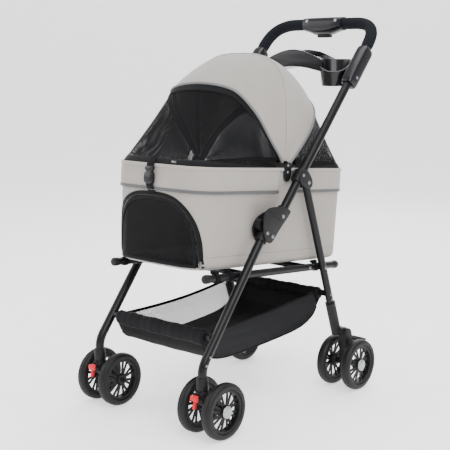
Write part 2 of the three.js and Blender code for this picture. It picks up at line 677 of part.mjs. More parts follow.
const onArch = (angle) => ([x, r]) => [
  x, CANOPY_PIVOT_ALONG + r * Math.cos(rad(angle)), CANOPY_PIVOT_UP + r * Math.sin(rad(angle)),
];

// A fabric shell stretched between two bows.
function canopyShell(from, to, steps) {
  const rings = [];
  for (let i = 0; i <= steps; i += 1) {
    const k = i / steps;
    const arch = from.arch.map(([x, r], n) =>
      [x + (to.arch[n][0] - x) * k, r + (to.arch[n][1] - r) * k]);
    const section = [...archLine(arch, 0), ...archLine(arch, -PANEL_T).reverse()];
    rings.push(section.map(onArch(from.angle + (to.angle - from.angle) * k)));
  }
  const flat = [...archLine(from.arch, 0), ...archLine(from.arch, -PANEL_T).reverse()];
  return loft(rings, flat, flat, true);
}

// The front bow of round spring steel, just inside the fabric.
function frontBow() {
  const ends = [[BOW_END_X, 14], ...archLine(FRONT_BOW.arch, -7.5), [-BOW_END_X, 14]];
  const extrudePath = new THREE.CatmullRomCurve3(
    ends.map(onArch(FRONT_BOW.angle - 0.6)).map((p) => new THREE.Vector3(...p)), false,
    "centripetal");
  return onCarrier(new THREE.ExtrudeGeometry(new THREE.Shape(circle(BOW_R, 6)),
    { steps: 22, extrudePath }));
}

const canopyRear = () => onCarrier(canopyShell(
  REAR_BOW, { ...MIDDLE_BOW, angle: MIDDLE_BOW.angle - PANEL_GAP_ANGLE }, 4));
const canopyFront = () => onCarrier(canopyShell(MIDDLE_BOW, FRONT_BOW, 4));

function resample(line, count) {
  const path = new THREE.CurvePath();
  for (let i = 1; i < line.length; i += 1) {
    path.add(new THREE.LineCurve3(new THREE.Vector3(...line[i - 1]), new THREE.Vector3(...line[i])));
  }
  return path.getSpacedPoints(count);
}

// Half of the cabin's rim, from beside the pivot to the middle of the front or rear.
function rimLine(inset, forward) {
  const half = CABIN_HALF + CABIN_FLARE + BAND_OUT - inset;
  const front = CABIN_FRONT - CABIN_FLARE - BAND_OUT + inset;
  const ring = cabinRing(half, front, CABIN_REAR + BAND_OUT - inset, CABIN_TOP + 1.2, 60 - inset);
  const side = ring.filter(([x, y]) => x >= 0 && (forward ? y < 100 : y > 200));
  const order = forward ? side.sort((a, b) => b[1] - a[1] || b[0] - a[0])
    : side.sort((a, b) => a[1] - b[1] || b[0] - a[0]);
  const start = [half, CANOPY_PIVOT_ALONG + (forward ? -26 : 26), CABIN_TOP + 1.2];
  const end = forward ? [] : [[0, CABIN_REAR + BAND_OUT - inset, CABIN_TOP + 1.2]];
  return [start, ...order, ...end];
}

// A ruled mesh window between a bow and the rim, held taut.
function meshWindow(bow, angle, forward) {
  const layer = (archOffset, rimInset) => {
    const arch = archLine(bow.arch, archOffset).slice(0, bow.arch.length).map(onArch(angle));
    const top = resample(arch, 10);
    const low = resample(rimLine(rimInset, forward), 10);
    const mirror = (list) => [...list, ...list.slice(0, -1).reverse()
      .map((p) => new THREE.Vector3(-p.x, p.y, p.z))].map((p) => [p.x, p.y, p.z]);
    return [mirror(top), mirror(low)];
  };
  const [outTop, outLow] = layer(-0.6, 3);
  const [inTop, inLow] = layer(-2.4, 5);
  const section = [...outTop.map((_, i) => [i, 1]), ...inTop.map((_, i) => [i, 0]).reverse()];
  const blend = (a, b, t) => a.map((p, i) => p.map((v, k) => v + (b[i][k] - v) * t));
  const ring = (t) => [...blend(outTop, outLow, t), ...blend(inTop, inLow, t).reverse()];
  return onCarrier(loft([ring(0), ring(0.5), ring(1)], section, section, true));
}

function pivotPlate(side) {
  const x = CABIN_HALF + CABIN_FLARE + BAND_OUT + GAP;
  const y = CANOPY_PIVOT_ALONG;
  const z = CANOPY_PIVOT_UP;
  const outline = [
    [y - 9, z - 34], [y + 7, z - 34], [y + 14, z - 20], [y + 15, z + 4], [y + 8, z + 13],
    [y - 8, z + 13], [y - 15, z + 4], [y - 14, z - 22],
  ];
  const x0 = side > 0 ? x : -x - 3;
  return onCarrier(plateX(outline, x0, x0 + 3));
}

// The strap that closes the mesh to the cabin, above the door, with its buckle.
const STRAP_Y = CABIN_FRONT - CABIN_FLARE - BAND_OUT - 9 - GAP;

function buckleLower() {
  const socket = box(-15, 15, STRAP_Y - 9, STRAP_Y, CABIN_TOP - 46, CABIN_TOP - 18);
  const mouth = box(-11, 11, STRAP_Y - 6.6, STRAP_Y - 2.4, CABIN_TOP - 36, CABIN_TOP);
  return onCarrier(cut(socket, mouth));
}

function buckleUpper() {
  const plug = box(-10.6, 10.6, STRAP_Y - 6.2, STRAP_Y - 2.8, CABIN_TOP - 35, CABIN_TOP - 10);
  const bar = box(-15, 15, STRAP_Y - 8, STRAP_Y - 1, CABIN_TOP - 17.4, CABIN_TOP - 4);
  return onCarrier(join(plug, bar));
}

// ---- Basket ------------------------------------------------------------------------------------
const BASKET_HALF = 152;
const BASKET_DEPTH = 84;

function basket() {
  const front = onLeg(0, FRONT_CROSS_ALONG);
  const rear = onRearLeg(0, REAR_CROSS_ALONG);
  const y0 = front[1] + CROSS_R + 1;
  const y1 = rear[1] - CROSS_R - 1;
  const rimZ = (y) => front[2] + ((rear[2] - front[2]) * (y - y0)) / (y1 - y0);
  const ring = (half, inset, depth, corner) => {
    const flat = cabinRing(half, y0 + inset, y1 - inset, 0, corner);
    return flat.map(([x, y]) => {
      const yy = Math.max(y, y0 + inset);
      const sag = depth * (0.72 + 0.28 * Math.sin((Math.PI * (yy - y0)) / (y1 - y0)));
      return [x, yy, rimZ(yy) - sag];
    });
  };
  const rings = [
    ring(BASKET_HALF - 16, 14, BASKET_DEPTH, 30), ring(BASKET_HALF - 7, 5, BASKET_DEPTH - 14, 30),
    ring(BASKET_HALF, 0, 0, 24), ring(BASKET_HALF - 3, 3, 0, 22),
    ring(BASKET_HALF - 10, 8, BASKET_DEPTH - 14, 28),
    ring(BASKET_HALF - 19, 17, BASKET_DEPTH - 4, 28),
  ];
  const flat = (list) => list.map(([x, y]) => [x, y]);
  return loft(rings, flat(rings[0]), flat(rings[rings.length - 1]));
}

// ---- Assembly ------------------------------------------------------------------------------------
const stroller = new THREE.Group();
stroller.position.y = CENTRE_SHIFT_Y;

function add(name, geometry, look) {
  const node = new THREE.Mesh(geometry, look());
  node.name = name;
  stroller.add(node);
}

const SIDES = [["left", 1], ["right", -1]];

for (const [side, s] of SIDES) {
  const x = s * LEG_X;
  add(`front_leg_${side}`, frontLeg(x), FRAME_BLACK);
  add(`lower_hinge_${side}`, lowerHinge(x), PLASTIC);
  add(`upper_hinge_${side}`, upperHinge(x), PLASTIC);
  add(`upper_tube_${side}`, upperTube(x), FRAME_BLACK);
  add(`rear_bracket_${side}`, rearBracket(x), PLASTIC);
  add(`handle_sleeve_${side}`, handleSleeve(x), PLASTIC);
  add(`rear_leg_${side}`, rearLeg(x), FRAME_BLACK);
  add(`rear_housing_${side}`, rearHousing(s), PLASTIC);
  add(`brake_pedal_${side}`, brakePedal(s * REAR_WHEELS_X), PLASTIC);
  add(`caster_socket_${side}`, casterSocket(x), PLASTIC);
  add(`caster_fork_${side}`, casterFork(x), PLASTIC);
  add(`swivel_lock_${side}`, swivelLock(x), RED);
  add(`pivot_plate_${side}`, pivotPlate(s), PLASTIC);
  for (const [place, p] of [["outer", 1], ["inner", -1]]) {
    const front = [x + s * p * PAIR_OFFSET, CASTER_Y + CASTER_TRAIL];
    const rear = [s * (REAR_WHEELS_X + p * PAIR_OFFSET), REAR_AXLE_Y];
    add(`front_tyre_${side}_${place}`, tyre(...front), TYRE);
    add(`front_rim_${side}_${place}`, rim(...front), PLASTIC);
    add(`rear_tyre_${side}_${place}`, tyre(...rear), TYRE);
    add(`rear_rim_${side}_${place}`, rim(...rear), PLASTIC);
  }
}

add("front_cross_tube", crossTube(onLeg(0, FRONT_CROSS_ALONG), LEG_X - LEG_TUBE_R - GAP), FRAME_BLACK);
add("rear_cross_tube", crossTube(onRearLeg(0, REAR_CROSS_ALONG), LEG_X - REAR_TUBE_R - GAP),
  FRAME_BLACK);
add("seat_base", seatBase(), FRAME_BLACK);
add("handle_tube", handleTube(), FRAME_BLACK);
add("foam_grip", foamGrip(), FOAM);
add("grip_housing", gripHousing(), PLASTIC);
add("release_button", releaseButton(), PLASTIC);
add("cup_tray", cupTray(), PLASTIC);
add("basket", basket(), BLACK_CLOTH);
add("cabin", cabin(), FABRIC);
add("door_panel", doorPanel(), MESH);
add("buckle_lower", buckleLower(), PLASTIC);
add("buckle_upper", buckleUpper(), PLASTIC);
add("canopy_rear", canopyRear(), FABRIC);
add("canopy_front", canopyFront(), FABRIC);
add("front_bow", frontBow(), FRAME_BLACK);
add("mesh_front", meshWindow(FRONT_BOW, FRONT_BOW.angle + 0.4, true), MESH);
add("mesh_rear", meshWindow(REAR_BOW, REAR_BOW.angle - 0.6, false), MESH);

export default stroller;
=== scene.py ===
import json
import math

import bmesh
import bpy
from bpy.props import FloatProperty, IntProperty, PointerProperty
from mathutils import Matrix, Vector
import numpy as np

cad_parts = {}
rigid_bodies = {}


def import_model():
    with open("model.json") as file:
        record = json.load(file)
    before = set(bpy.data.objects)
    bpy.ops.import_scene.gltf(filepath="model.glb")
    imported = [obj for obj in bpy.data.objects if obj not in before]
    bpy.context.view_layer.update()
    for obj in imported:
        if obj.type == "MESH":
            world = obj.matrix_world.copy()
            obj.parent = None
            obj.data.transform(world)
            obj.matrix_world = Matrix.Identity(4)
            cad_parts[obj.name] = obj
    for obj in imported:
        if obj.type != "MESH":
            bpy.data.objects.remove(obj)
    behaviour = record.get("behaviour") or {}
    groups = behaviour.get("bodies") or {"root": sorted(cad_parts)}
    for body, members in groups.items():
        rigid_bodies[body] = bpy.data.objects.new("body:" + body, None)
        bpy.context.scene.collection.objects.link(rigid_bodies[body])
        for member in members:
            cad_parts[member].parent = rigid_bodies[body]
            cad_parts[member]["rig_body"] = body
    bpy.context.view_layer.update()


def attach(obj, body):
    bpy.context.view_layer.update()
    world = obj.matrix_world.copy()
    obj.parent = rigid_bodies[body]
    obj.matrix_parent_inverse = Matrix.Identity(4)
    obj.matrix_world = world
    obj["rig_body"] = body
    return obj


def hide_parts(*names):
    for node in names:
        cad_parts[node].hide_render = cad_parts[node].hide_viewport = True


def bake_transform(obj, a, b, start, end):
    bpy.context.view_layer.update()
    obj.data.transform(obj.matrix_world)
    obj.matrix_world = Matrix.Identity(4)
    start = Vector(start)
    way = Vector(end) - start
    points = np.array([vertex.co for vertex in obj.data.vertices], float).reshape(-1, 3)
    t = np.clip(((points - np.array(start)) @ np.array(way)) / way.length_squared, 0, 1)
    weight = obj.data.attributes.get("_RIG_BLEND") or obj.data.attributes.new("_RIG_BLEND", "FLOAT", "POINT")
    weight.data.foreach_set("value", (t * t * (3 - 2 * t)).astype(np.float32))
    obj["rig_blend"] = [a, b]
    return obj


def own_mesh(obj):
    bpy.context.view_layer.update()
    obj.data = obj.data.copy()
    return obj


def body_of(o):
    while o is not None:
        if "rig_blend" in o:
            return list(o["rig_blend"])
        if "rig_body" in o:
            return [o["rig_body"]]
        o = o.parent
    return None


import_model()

bl_info = {
    "name": "Pet Stroller",
    "version": (1, 0, 0),
    "blender": (4, 5, 0),
    "location": "View3D > Sidebar > Stroller",
    "description": "Builds the visual model of a folding pet stroller, one group of pieces at a time",
    "category": "Object",
}

# ---- Dimensions, in millimetres ---------------------------------------------------------------
# Where the handle line meets the side bars, and how the handle, the legs and the carrier lean.
LINE_Y, LINE_Z = -117.0, 362.0
HANDLE_ANGLE = math.radians(49)
LEG_ANGLE = math.radians(52.7)
TILT = math.radians(4.5)
HANDLE_BEHIND = 5.0
FOLD_ALONG, FOLD_BEHIND = 115.0, -3.0
LEG_TOP_BEHIND = -18.0
REAR_PIVOT_ALONG, REAR_PIVOT_BEHIND = 303.0, 34.0
REAR_FOOT_Y, REAR_FOOT_Z = 188.0, 338.0

# The pieces are drawn in millimetres and then placed in the row frame by one of these spaces.
MIDDLE_Y = 65.0
WORLD = Matrix.Scale(0.001, 4) @ Matrix.Translation((0, -MIDDLE_Y, 0))
CARRIER = WORLD @ Matrix.Translation((0, LINE_Y, LINE_Z)) @ Matrix.Rotation(-TILT, 4, "X")

SIDES = (("left", 1), ("right", -1))
LEG_X = 180.0
BAR_X = 158.0
TUBE_R = 11.0
REAR_TUBE_R = 10.0
CROSS_TUBE_R = 8.0

# Wheels: the swivel's axis, the axles, and how far each wheel of a pair is from the middle.
WHEEL_R = 68.0
WHEEL_APART = 39
SWIVEL_Y = -275
FRONT_AXLE_Y, REAR_AXLE_Y = -244, 270
REAR_WHEEL_X = 202
LOCK_Y, LOCK_Z = -296, 106
PEDAL_Y, PEDAL_Z = 293, 116

# The carrier, in its own tilted space.
CORNER_REAR_R, CORNER_FRONT_R = 48, 60
CABIN_BOTTOM, CABIN_BAND, CABIN_TOP = 16.5, 198.0, 258.0
CABIN_FRONT, CABIN_REAR, CABIN_HALF = -138.0, 424.0, 147.0
PIVOT_Y, PIVOT_Z = 158.0, 260.0
DOOR_HALF, DOOR_SILL, DOOR_APEX = 131.0, 22.0, 184.0
CUP_X, CUP_Y = 118.0, 314.0

# Each canopy bow: its angle, and half of its arch as (x, distance from the pivot axis).
FRONT_BOW = (130.0, ((150, 45), (146, 89), (143, 154), (132, 196), (118, 225), (104, 240),
                     (80, 250), (45, 257), (0, 260)))
MIDDLE_BOW = (94.5, ((156, 45), (157, 100), (155, 160), (143, 220), (126, 248), (104, 266),
                     (75, 277), (40, 283), (0, 284)))
REAR_BOW = (46.5, ((157, 45), (156, 90), (150, 140), (138, 178), (120, 209), (92, 237),
                   (62, 256), (32, 268), (0, 272)))

# Each light: its name, place and width in metres, and its share of the key light's power.
STUDIO_LIGHTS = (
    ("key", (2.2, -1.6, 2.6), 2.4, 1.0),
    ("fill", (-2.8, -1.8, 1.8), 2.6, 0.5),
    ("top", (0.2, 0.4, 3.2), 2.6, 0.75),
    ("back", (-1.4, 2.8, 2.2), 2.0, 0.4),
)


def on_line(x, along, behind=0.0):
    """A point along the handle line from the side bars, and behind it."""
    c, s = math.cos(HANDLE_ANGLE), math.sin(HANDLE_ANGLE)
    return Vector((x, LINE_Y + along * c + behind * s, LINE_Z + along * s - behind * c))


def on_handle(x, along):
    """A point on a handle tube's centre line."""
    return on_line(x, along, HANDLE_BEHIND)


def on_leg(x, along):
    """A point on a front leg's centre line."""
    up = Vector((0, math.cos(LEG_ANGLE), math.sin(LEG_ANGLE)))
    return on_line(x, FOLD_ALONG, LEG_TOP_BEHIND) + (along - FOLD_ALONG) * up


FOLD_PIVOT = on_line(0, FOLD_ALONG, FOLD_BEHIND)
REAR_PIVOT = on_line(0, REAR_PIVOT_ALONG, REAR_PIVOT_BEHIND)
REAR_FOOT = Vector((0, REAR_FOOT_Y, REAR_FOOT_Z))
REAR_DOWN = (REAR_FOOT - REAR_PIVOT).normalized()
REAR_FOOT_ALONG = (REAR_FOOT - REAR_PIVOT).length


def on_rear_leg(x, along):
    """A point on a rear leg's centre line."""
    return Vector((x, 0, 0)) + REAR_PIVOT + along * REAR_DOWN


def on_bow(angle, x, r):
    """A point of a bow's plane, which turns about the canopy's pivot axis."""
    a = math.radians(angle)
    return Vector((x, PIVOT_Y + r * math.cos(a), PIVOT_Z + r * math.sin(a)))


# ---- Lines ------------------------------------------------------------------------------------
def spline(points, steps):
    """A smooth line through every point."""
    pts = [Vector(p) for p in points]
    pts = [2 * pts[0] - pts[1], *pts, 2 * pts[-1] - pts[-2]]
    out = []
    for a, b, c, d in zip(pts, pts[1:], pts[2:], pts[3:]):
        for i in range(steps):
            t = i / steps
            out.append(0.5 * (2 * b + (c - a) * t + (2 * a - 5 * b + 4 * c - d) * t * t
                              + (3 * b - a - 3 * c + d) * t ** 3))
    return out + [pts[-2]]


def fillet(points, trim, steps=10):
    """A line of straight runs with its inner corners rounded."""
    pts = [Vector(p) for p in points]
    out = [pts[0]]
    for a, b, c in zip(pts, pts[1:], pts[2:]):
        p, q = b + (a - b).normalized() * trim, b + (c - b).normalized() * trim
        out += [p.lerp(b, i / steps).lerp(b.lerp(q, i / steps), i / steps)
                for i in range(steps + 1)]
    return out + [pts[-1]]


def soften(outline, rounds=2):
    """A closed flat outline with its corners cut back."""
    for _ in range(rounds):
        outline = [(p[0] + (q[0] - p[0]) * t, p[1] + (q[1] - p[1]) * t)
                   for p, q in zip(outline, outline[1:] + outline[:1]) for t in (0.25, 0.75)]
    return outline


def along(line, t):
    """The point at a fraction t of a line's length."""
    lengths = [(b - a).length for a, b in zip(line, line[1:])]
    want = t * sum(lengths)
    for a, b, length in zip(line, line[1:], lengths):
        if want <= length:
            return a.lerp(b, want / length if length else 0)
        want -= length
    return line[-1].copy()


def arch(bow, offset=0.0, steps=8):
    """A bow's whole arch, left to right, moved outwards by an offset."""
    half = [Vector((x, 0, r)) for x, r in bow[1]]
    mirrored = half + [Vector((-p.x, 0, p.z)) for p in half[-2::-1]]
    line = spline(mirrored, steps)
    out = []
    for i, p in enumerate(line):
        run = (line[min(i + 1, len(line) - 1)] - line[max(i - 1, 0)]).normalized()
        out.append(p + offset * Vector((-run.z, 0, run.x)) * -1)
    return out


# ---- Mesh building ------------------------------------------------------------------------------
def add_loft(bm, rings, caps=True, closed=True):
    """Skin a row of rings by extruding the first one's edges from ring to ring."""
    verts = [bm.verts.new(p) for p in rings[0]]
    count = len(verts) if closed else len(verts) - 1

    def loop(vs):
        return [(vs[i], vs[(i + 1) % len(vs)]) for i in range(count)]

    first = edges = [bm.edges.new(pair) for pair in loop(verts)]
    for ring in rings[1:]:
        made = bmesh.ops.extrude_edge_only(bm, edges=edges)["geom"]
        new = {g for g in made if isinstance(g, bmesh.types.BMVert)}
        verts = [next(e.other_vert(v) for e in v.link_edges if e.other_vert(v) in new)
                 for v in verts]
        for v, p in zip(verts, ring):
            v.co = p
        edges = [bm.edges.get(pair) for pair in loop(verts)]
    if caps:
        bmesh.ops.edgeloop_fill(bm, edges=first)
        bmesh.ops.edgeloop_fill(bm, edges=edges)


def rings_along(line, section, up=Vector((0, 0, 1))):
    """A flat section of (side, up) points carried along a line without twisting."""
    line = [Vector(p) for p in line]
    rings = []
    side = None
    for i, p in enumerate(line):
        run = (line[min(i + 1, len(line) - 1)] - line[max(i - 1, 0)]).normalized()
        if side is None:
            side = run.cross(up if abs(run.dot(up)) < 0.95 else Vector((0, 1, 0))).normalized()
        side = (side - run * side.dot(run)).normalized()
        top = side.cross(run)
        rings.append([p + side * a + top * b for a, b in section])
    return rings


def circle(r, sides, squash=1.0):
    """A round or oval section."""
    return [(r * math.cos(2 * math.pi * i / sides), r * squash * math.sin(2 * math.pi * i / sides))
            for i in range(sides)]


def add_tube(bm, line, r, sides=28, squash=1.0):
    """A tube along a line."""
    add_loft(bm, rings_along(line, circle(r, sides, squash)))


def add_strip(bm, line, outward, width, thick):
    """A flat tape along a line; outward gives the way its face points at each point."""
    line = [Vector(p) for p in line]
    rings = []
    for i, p in enumerate(line):
        run = (line[min(i + 1, len(line) - 1)] - line[max(i - 1, 0)]).normalized()
        out = outward(p, i)
        out = (out - run * out.dot(run)).normalized()
        side = run.cross(out)
        w, t = width / 2, thick / 2
        rings.append([p + side * a + out * b for a, b in
                      ((-w, -t), (-w, t * 0.3), (-w * 0.86, t), (w * 0.86, t), (w, t * 0.3), (w, -t))])
    add_loft(bm, rings)


def add_turned(bm, profile, centre, axis, steps=48):
    """Spin a profile of (radius, offset along the axis) round an axis through a centre."""
    axis = Vector(axis).normalized()
    side = axis.orthogonal().normalized()
    centre = Vector(centre)
    verts = [bm.verts.new(centre + side * r + axis * a) for r, a in profile]
    edges = [bm.edges.new(pair) for pair in zip(verts, verts[1:])]
    if profile[0][0] > 0.01 and profile[-1][0] > 0.01:
        edges.append(bm.edges.new((verts[-1], verts[0])))
    bmesh.ops.spin(bm, geom=verts + edges, cent=centre, axis=axis, angle=2 * math.pi,
                   steps=steps, use_merge=True)


def add_plate(bm, outline, axis, low, high, bevel=1.5, segments=3):
    """A flat outline extruded between two values of an axis, with bevelled rims."""
    def place(a, b, value):
        return {"x": (value, a, b), "y": (a, value, b), "z": (a, b, value)}[axis]

    verts = [bm.verts.new(place(a, b, low)) for a, b in outline]
    face = bm.faces.new(verts)
    made = bmesh.ops.extrude_face_region(bm, geom=[face], use_keep_orig=True)["geom"]
    top = [g for g in made if isinstance(g, bmesh.types.BMVert)]
    bmesh.ops.translate(bm, verts=top, vec=Vector(place(0, 0, high - low)))
    if bevel:
        rims = [e for e in bm.edges if e.is_valid and (
            (e.verts[0] in verts and e.verts[1] in verts) or (e.verts[0] in top and e.verts[1] in top))]
        bmesh.ops.bevel(bm, geom=rims, offset=bevel, offset_type="OFFSET", affect="EDGES",
                        segments=segments, profile=0.5, material=-1, clamp_overlap=True)


def add_box(bm, low, high, bevel=1.0, segments=2):
    """A box with every edge bevelled."""
    low, high = Vector(low), Vector(high)
    before = set(bm.verts)
    bmesh.ops.create_cube(bm, size=1, matrix=Matrix.Translation((low + high) / 2)
                          @ Matrix.Diagonal((*(high - low), 1)))
    edges = [e for e in bm.edges if e.verts[0] not in before]
    bmesh.ops.bevel(bm, geom=edges, offset=bevel, offset_type="OFFSET", affect="EDGES",
                    segments=segments, profile=0.5, material=-1, clamp_overlap=True)


def tidy(bm):
    """Merge doubles and turn every closed shell's faces outwards."""
    bmesh.ops.remove_doubles(bm, verts=bm.verts, dist=0.002)
    bmesh.ops.recalc_face_normals(bm, faces=bm.faces)


def to_object(name, bm, space, material, sharp):
    """Place a finished mesh in the row frame and give it its material."""
    bmesh.ops.transform(bm, matrix=space, verts=bm.verts)
    mesh = bpy.data.meshes.new(name)
    bm.to_mesh(mesh)
    bm.free()
    mesh.materials.append(material)
    mesh.shade_smooth()
    mesh.set_sharp_from_angle(angle=math.radians(sharp))
    obj = bpy.data.objects.new(name, mesh)
    bpy.context.scene.collection.objects.link(obj)
    return obj


def solid(name, bm, body, material, space=WORLD, nodes=(), sharp=38):
    """Finish a closed piece that rides on one body and stands for the named CAD nodes."""
    tidy(bm)
    obj = to_object(name, bm, space, material, sharp)
    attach(obj, body)
    if nodes:
        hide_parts(*nodes)
    return obj


def cloth(name, place, columns, rows, size, material, space=CARRIER, thick=1.4,
          keep=None, snap=None):
    """A sheet placed by a function of (u, v), unwrapped at its flat size in millimetres."""
    bm = bmesh.new()
    bmesh.ops.create_grid(bm, x_segments=columns, y_segments=rows, size=0.5)
    for v in bm.verts:
        v.co.x, v.co.y = v.co.x + 0.5, v.co.y + 0.5
    if keep:
        drop = [f for f in bm.faces if not keep(*f.calc_center_median().xy)]
        bmesh.ops.delete(bm, geom=drop, context="FACES")
        for v in [v for v in bm.verts if v.is_boundary]:
            v.co.x, v.co.y = snap(*v.co.xy)
    layer = bm.loops.layers.uv.new("UVMap")
    for face in bm.faces:
        for corner in face.loops:
            corner[layer].uv = (corner.vert.co.x * size[0] / 1000, corner.vert.co.y * size[1] / 1000)
    for v in bm.verts:
        v.co = place(*v.co.xy)
    obj = to_object(name, bm, space, material, 180)
    shell = obj.modifiers.new("Thickness", "SOLIDIFY")
    shell.thickness = thick / 1000
    shell.offset = 0
    return obj


# ---- Materials ----------------------------------------------------------------------------------
def node(tree, kind, **values):
    """A shader node with its settings and unlinked inputs filled in."""
    made = tree.nodes.new(kind)
    for key, value in values.items():
        if key.startswith("set_"):
            setattr(made, key[4:], value)
        else:
            target = made.inputs[int(key[3:]) if key[:3] == "in_" else key.replace("_", " ")]
            if isinstance(value, bpy.types.NodeSocket):
                tree.links.new(value, target)
            else:
                target.default_value = value
    return made


def start_material(name, base, rough, metallic=0.0, coat=0.0, sheen=0.0, shine=0.25):
    """A new material with its plain settings, or the one that has this name already."""
    old = bpy.data.materials.get(name)
    if old:
        return old, None, None, None
    mat = bpy.data.materials.new(name)
    mat.use_nodes = True
    tree = mat.node_tree
    bsdf = tree.nodes["Principled BSDF"]
    bsdf.inputs["Base Color"].default_value = (*base, 1)
    bsdf.inputs["Roughness"].default_value = rough
    bsdf.inputs["Metallic"].default_value = metallic
    bsdf.inputs["Specular IOR Level"].default_value = shine
    bsdf.inputs["Coat Weight"].default_value = coat
    bsdf.inputs["Coat Roughness"].default_value = 0.15
    bsdf.inputs["Sheen Weight"].default_value = sheen
    bsdf.inputs["Sheen Roughness"].default_value = 0.4
    return mat, tree, bsdf, node(tree, "ShaderNodeTexCoord")


def wear(tree, bsdf, coords, base, rough, vary):
    """Slow changes of tone and gloss, as on a part that has been handled."""
    slow = node(tree, "ShaderNodeTexNoise", Vector=coords, Scale=16.0, Detail=5.0)
    tone = node(tree, "ShaderNodeMapRange", Value=slow.outputs[0], To_Min=1 - vary, To_Max=1 + vary)
    colour = node(tree, "ShaderNodeVectorMath", set_operation="SCALE", in_0=base,
                  Scale=tone.outputs[0])
    tree.links.new(colour.outputs[0], bsdf.inputs["Base Color"])
    gloss = node(tree, "ShaderNodeMapRange", Value=slow.outputs[0], To_Min=max(0.03, rough - 0.07),
                 To_Max=min(1, rough + 0.07))
    tree.links.new(gloss.outputs[0], bsdf.inputs["Roughness"])


def moulded(name, base, rough, grain=900.0, depth=0.12, **finish):
    """Paint, plastic, metal or foam: slow wear and a fine grain."""
    mat, tree, bsdf, coords = start_material(name, base, rough, **finish)
    if tree:
        wear(tree, bsdf, coords.outputs["Object"], base, rough, 0.12)
        fine = node(tree, "ShaderNodeTexNoise", Vector=coords.outputs["Object"], Scale=grain,
                    Detail=3.0)
        bump = node(tree, "ShaderNodeBump", Strength=depth, Distance=0.0006,
                    Height=fine.outputs[0])
        tree.links.new(bump.outputs[0], bsdf.inputs["Normal"])
    return mat


def thread_pattern(tree, uv, pitch):
    """Plain-weave relief on a UV map in metres, and the sines that drive it."""
    scaled = node(tree, "ShaderNodeVectorMath", set_operation="SCALE", in_0=uv, Scale=1 / pitch)
    split = node(tree, "ShaderNodeSeparateXYZ", Vector=scaled.outputs[0])
    waves = []
    for axis in (0, 1):
        angle = node(tree, "ShaderNodeMath", set_operation="MULTIPLY", in_0=split.outputs[axis],
                     in_1=math.pi)
        sine = node(tree, "ShaderNodeMath", set_operation="SINE", in_0=angle.outputs[0])
        waves.append(sine.outputs[0])
    product = node(tree, "ShaderNodeMath", set_operation="MULTIPLY", in_0=waves[0], in_1=waves[1])
    return product.outputs[0]


def woven(name, base, rough=0.85, pitch=0.0009, sheen=0.25, slub=0.08, folds=0.5):
    """Woven cloth: thread relief on the UV map, uneven yarn, and soft creases."""
    mat, tree, bsdf, coords = start_material(name, base, rough, sheen=sheen, shine=0.12)
    if tree:
        uv = coords.outputs["UV"]
        wear(tree, bsdf, coords.outputs["Object"], base, rough, slub)
        weave = node(tree, "ShaderNodeBump", Strength=0.35, Distance=0.0004,
                     Height=thread_pattern(tree, uv, pitch))
        crease = node(tree, "ShaderNodeTexNoise", Vector=coords.outputs["Object"], Scale=11.0,
                      Detail=2.0)
        fold = node(tree, "ShaderNodeBump", Strength=folds, Distance=0.006,
                    Height=crease.outputs[0], Normal=weave.outputs[0])
        tree.links.new(fold.outputs[0], bsdf.inputs["Normal"])
    return mat


def netting(name, base, pitch, cover):
    """Open mesh: round holes on the UV map, with this share of the area covered."""
    mat, tree, bsdf, coords = start_material(name, base, 0.6, shine=0.1)
    if tree:
        product = thread_pattern(tree, coords.outputs["UV"], pitch)
        size = node(tree, "ShaderNodeMath", set_operation="ABSOLUTE", in_0=product)
        hole = node(tree, "ShaderNodeMath", set_operation="GREATER_THAN", in_0=size.outputs[0],
                    in_1=cover)
        clear = node(tree, "ShaderNodeBsdfTransparent")
        mix = node(tree, "ShaderNodeMixShader", in_0=hole.outputs[0], in_1=bsdf.outputs[0],
                   in_2=clear.outputs[0])
        tree.links.new(mix.outputs[0], tree.nodes["Material Output"].inputs["Surface"])
        bump = node(tree, "ShaderNodeBump", Strength=0.3, Distance=0.0003, Height=size.outputs[0],
                    set_invert=True)
        tree.links.new(bump.outputs[0], bsdf.inputs["Normal"])
    return mat


def paint():
    return moulded("Tube paint", (0.004, 0.004, 0.005), 0.34, grain=1500, depth=0.05,
                   coat=0.06, shine=0.2)


def matte():
    return moulded("Matt plastic", (0.005, 0.005, 0.006), 0.5, grain=1300, depth=0.16)


def gloss():
    return moulded("Gloss plastic", (0.004, 0.004, 0.006), 0.24, grain=800, depth=0.03,
                   coat=0.15, shine=0.3)


def red():
    return moulded("Red plastic", (0.55, 0.012, 0.02), 0.34, grain=900, depth=0.06)


def rubber():
    return moulded("Tyre rubber", (0.006, 0.006, 0.007), 0.5, grain=2200, depth=0.2)


def foam():
    return moulded("Grip foam", (0.008, 0.009, 0.012), 0.85, grain=1900, depth=0.7, shine=0.1)


def silver():
    return moulded("Hub cap", (0.36, 0.37, 0.38), 0.36, grain=700, depth=0.04, metallic=0.5)


def steel():
    return moulded("Rivet steel", (0.2, 0.2, 0.21), 0.33, grain=900, depth=0.05, metallic=0.9)


def piping_cloth():
    return moulded("Reflective piping", (0.15, 0.15, 0.155), 0.4, grain=2600, depth=0.5)


def strip_cloth():
    return moulded("Reflective strip", (0.09, 0.09, 0.095), 0.38, grain=2600, depth=0.4)


def webbing():
    return moulded("Webbing", (0.005, 0.005, 0.006), 0.7, grain=2300, depth=0.8, shine=0.1)


def grey_cloth():
    return woven("Grey cloth", (0.335, 0.312, 0.29))


def lining():
    return woven("Basket cloth", (0.005, 0.005, 0.006), rough=0.7, pitch=0.0011, sheen=0.04)


def pad_cloth():
    return woven("Pad cloth", (0.17, 0.165, 0.16), pitch=0.0014, folds=0.3)


def black_net(looks):
    return netting("Black netting", (0.004, 0.004, 0.005), looks.net_pitch / 1000, 0.47)


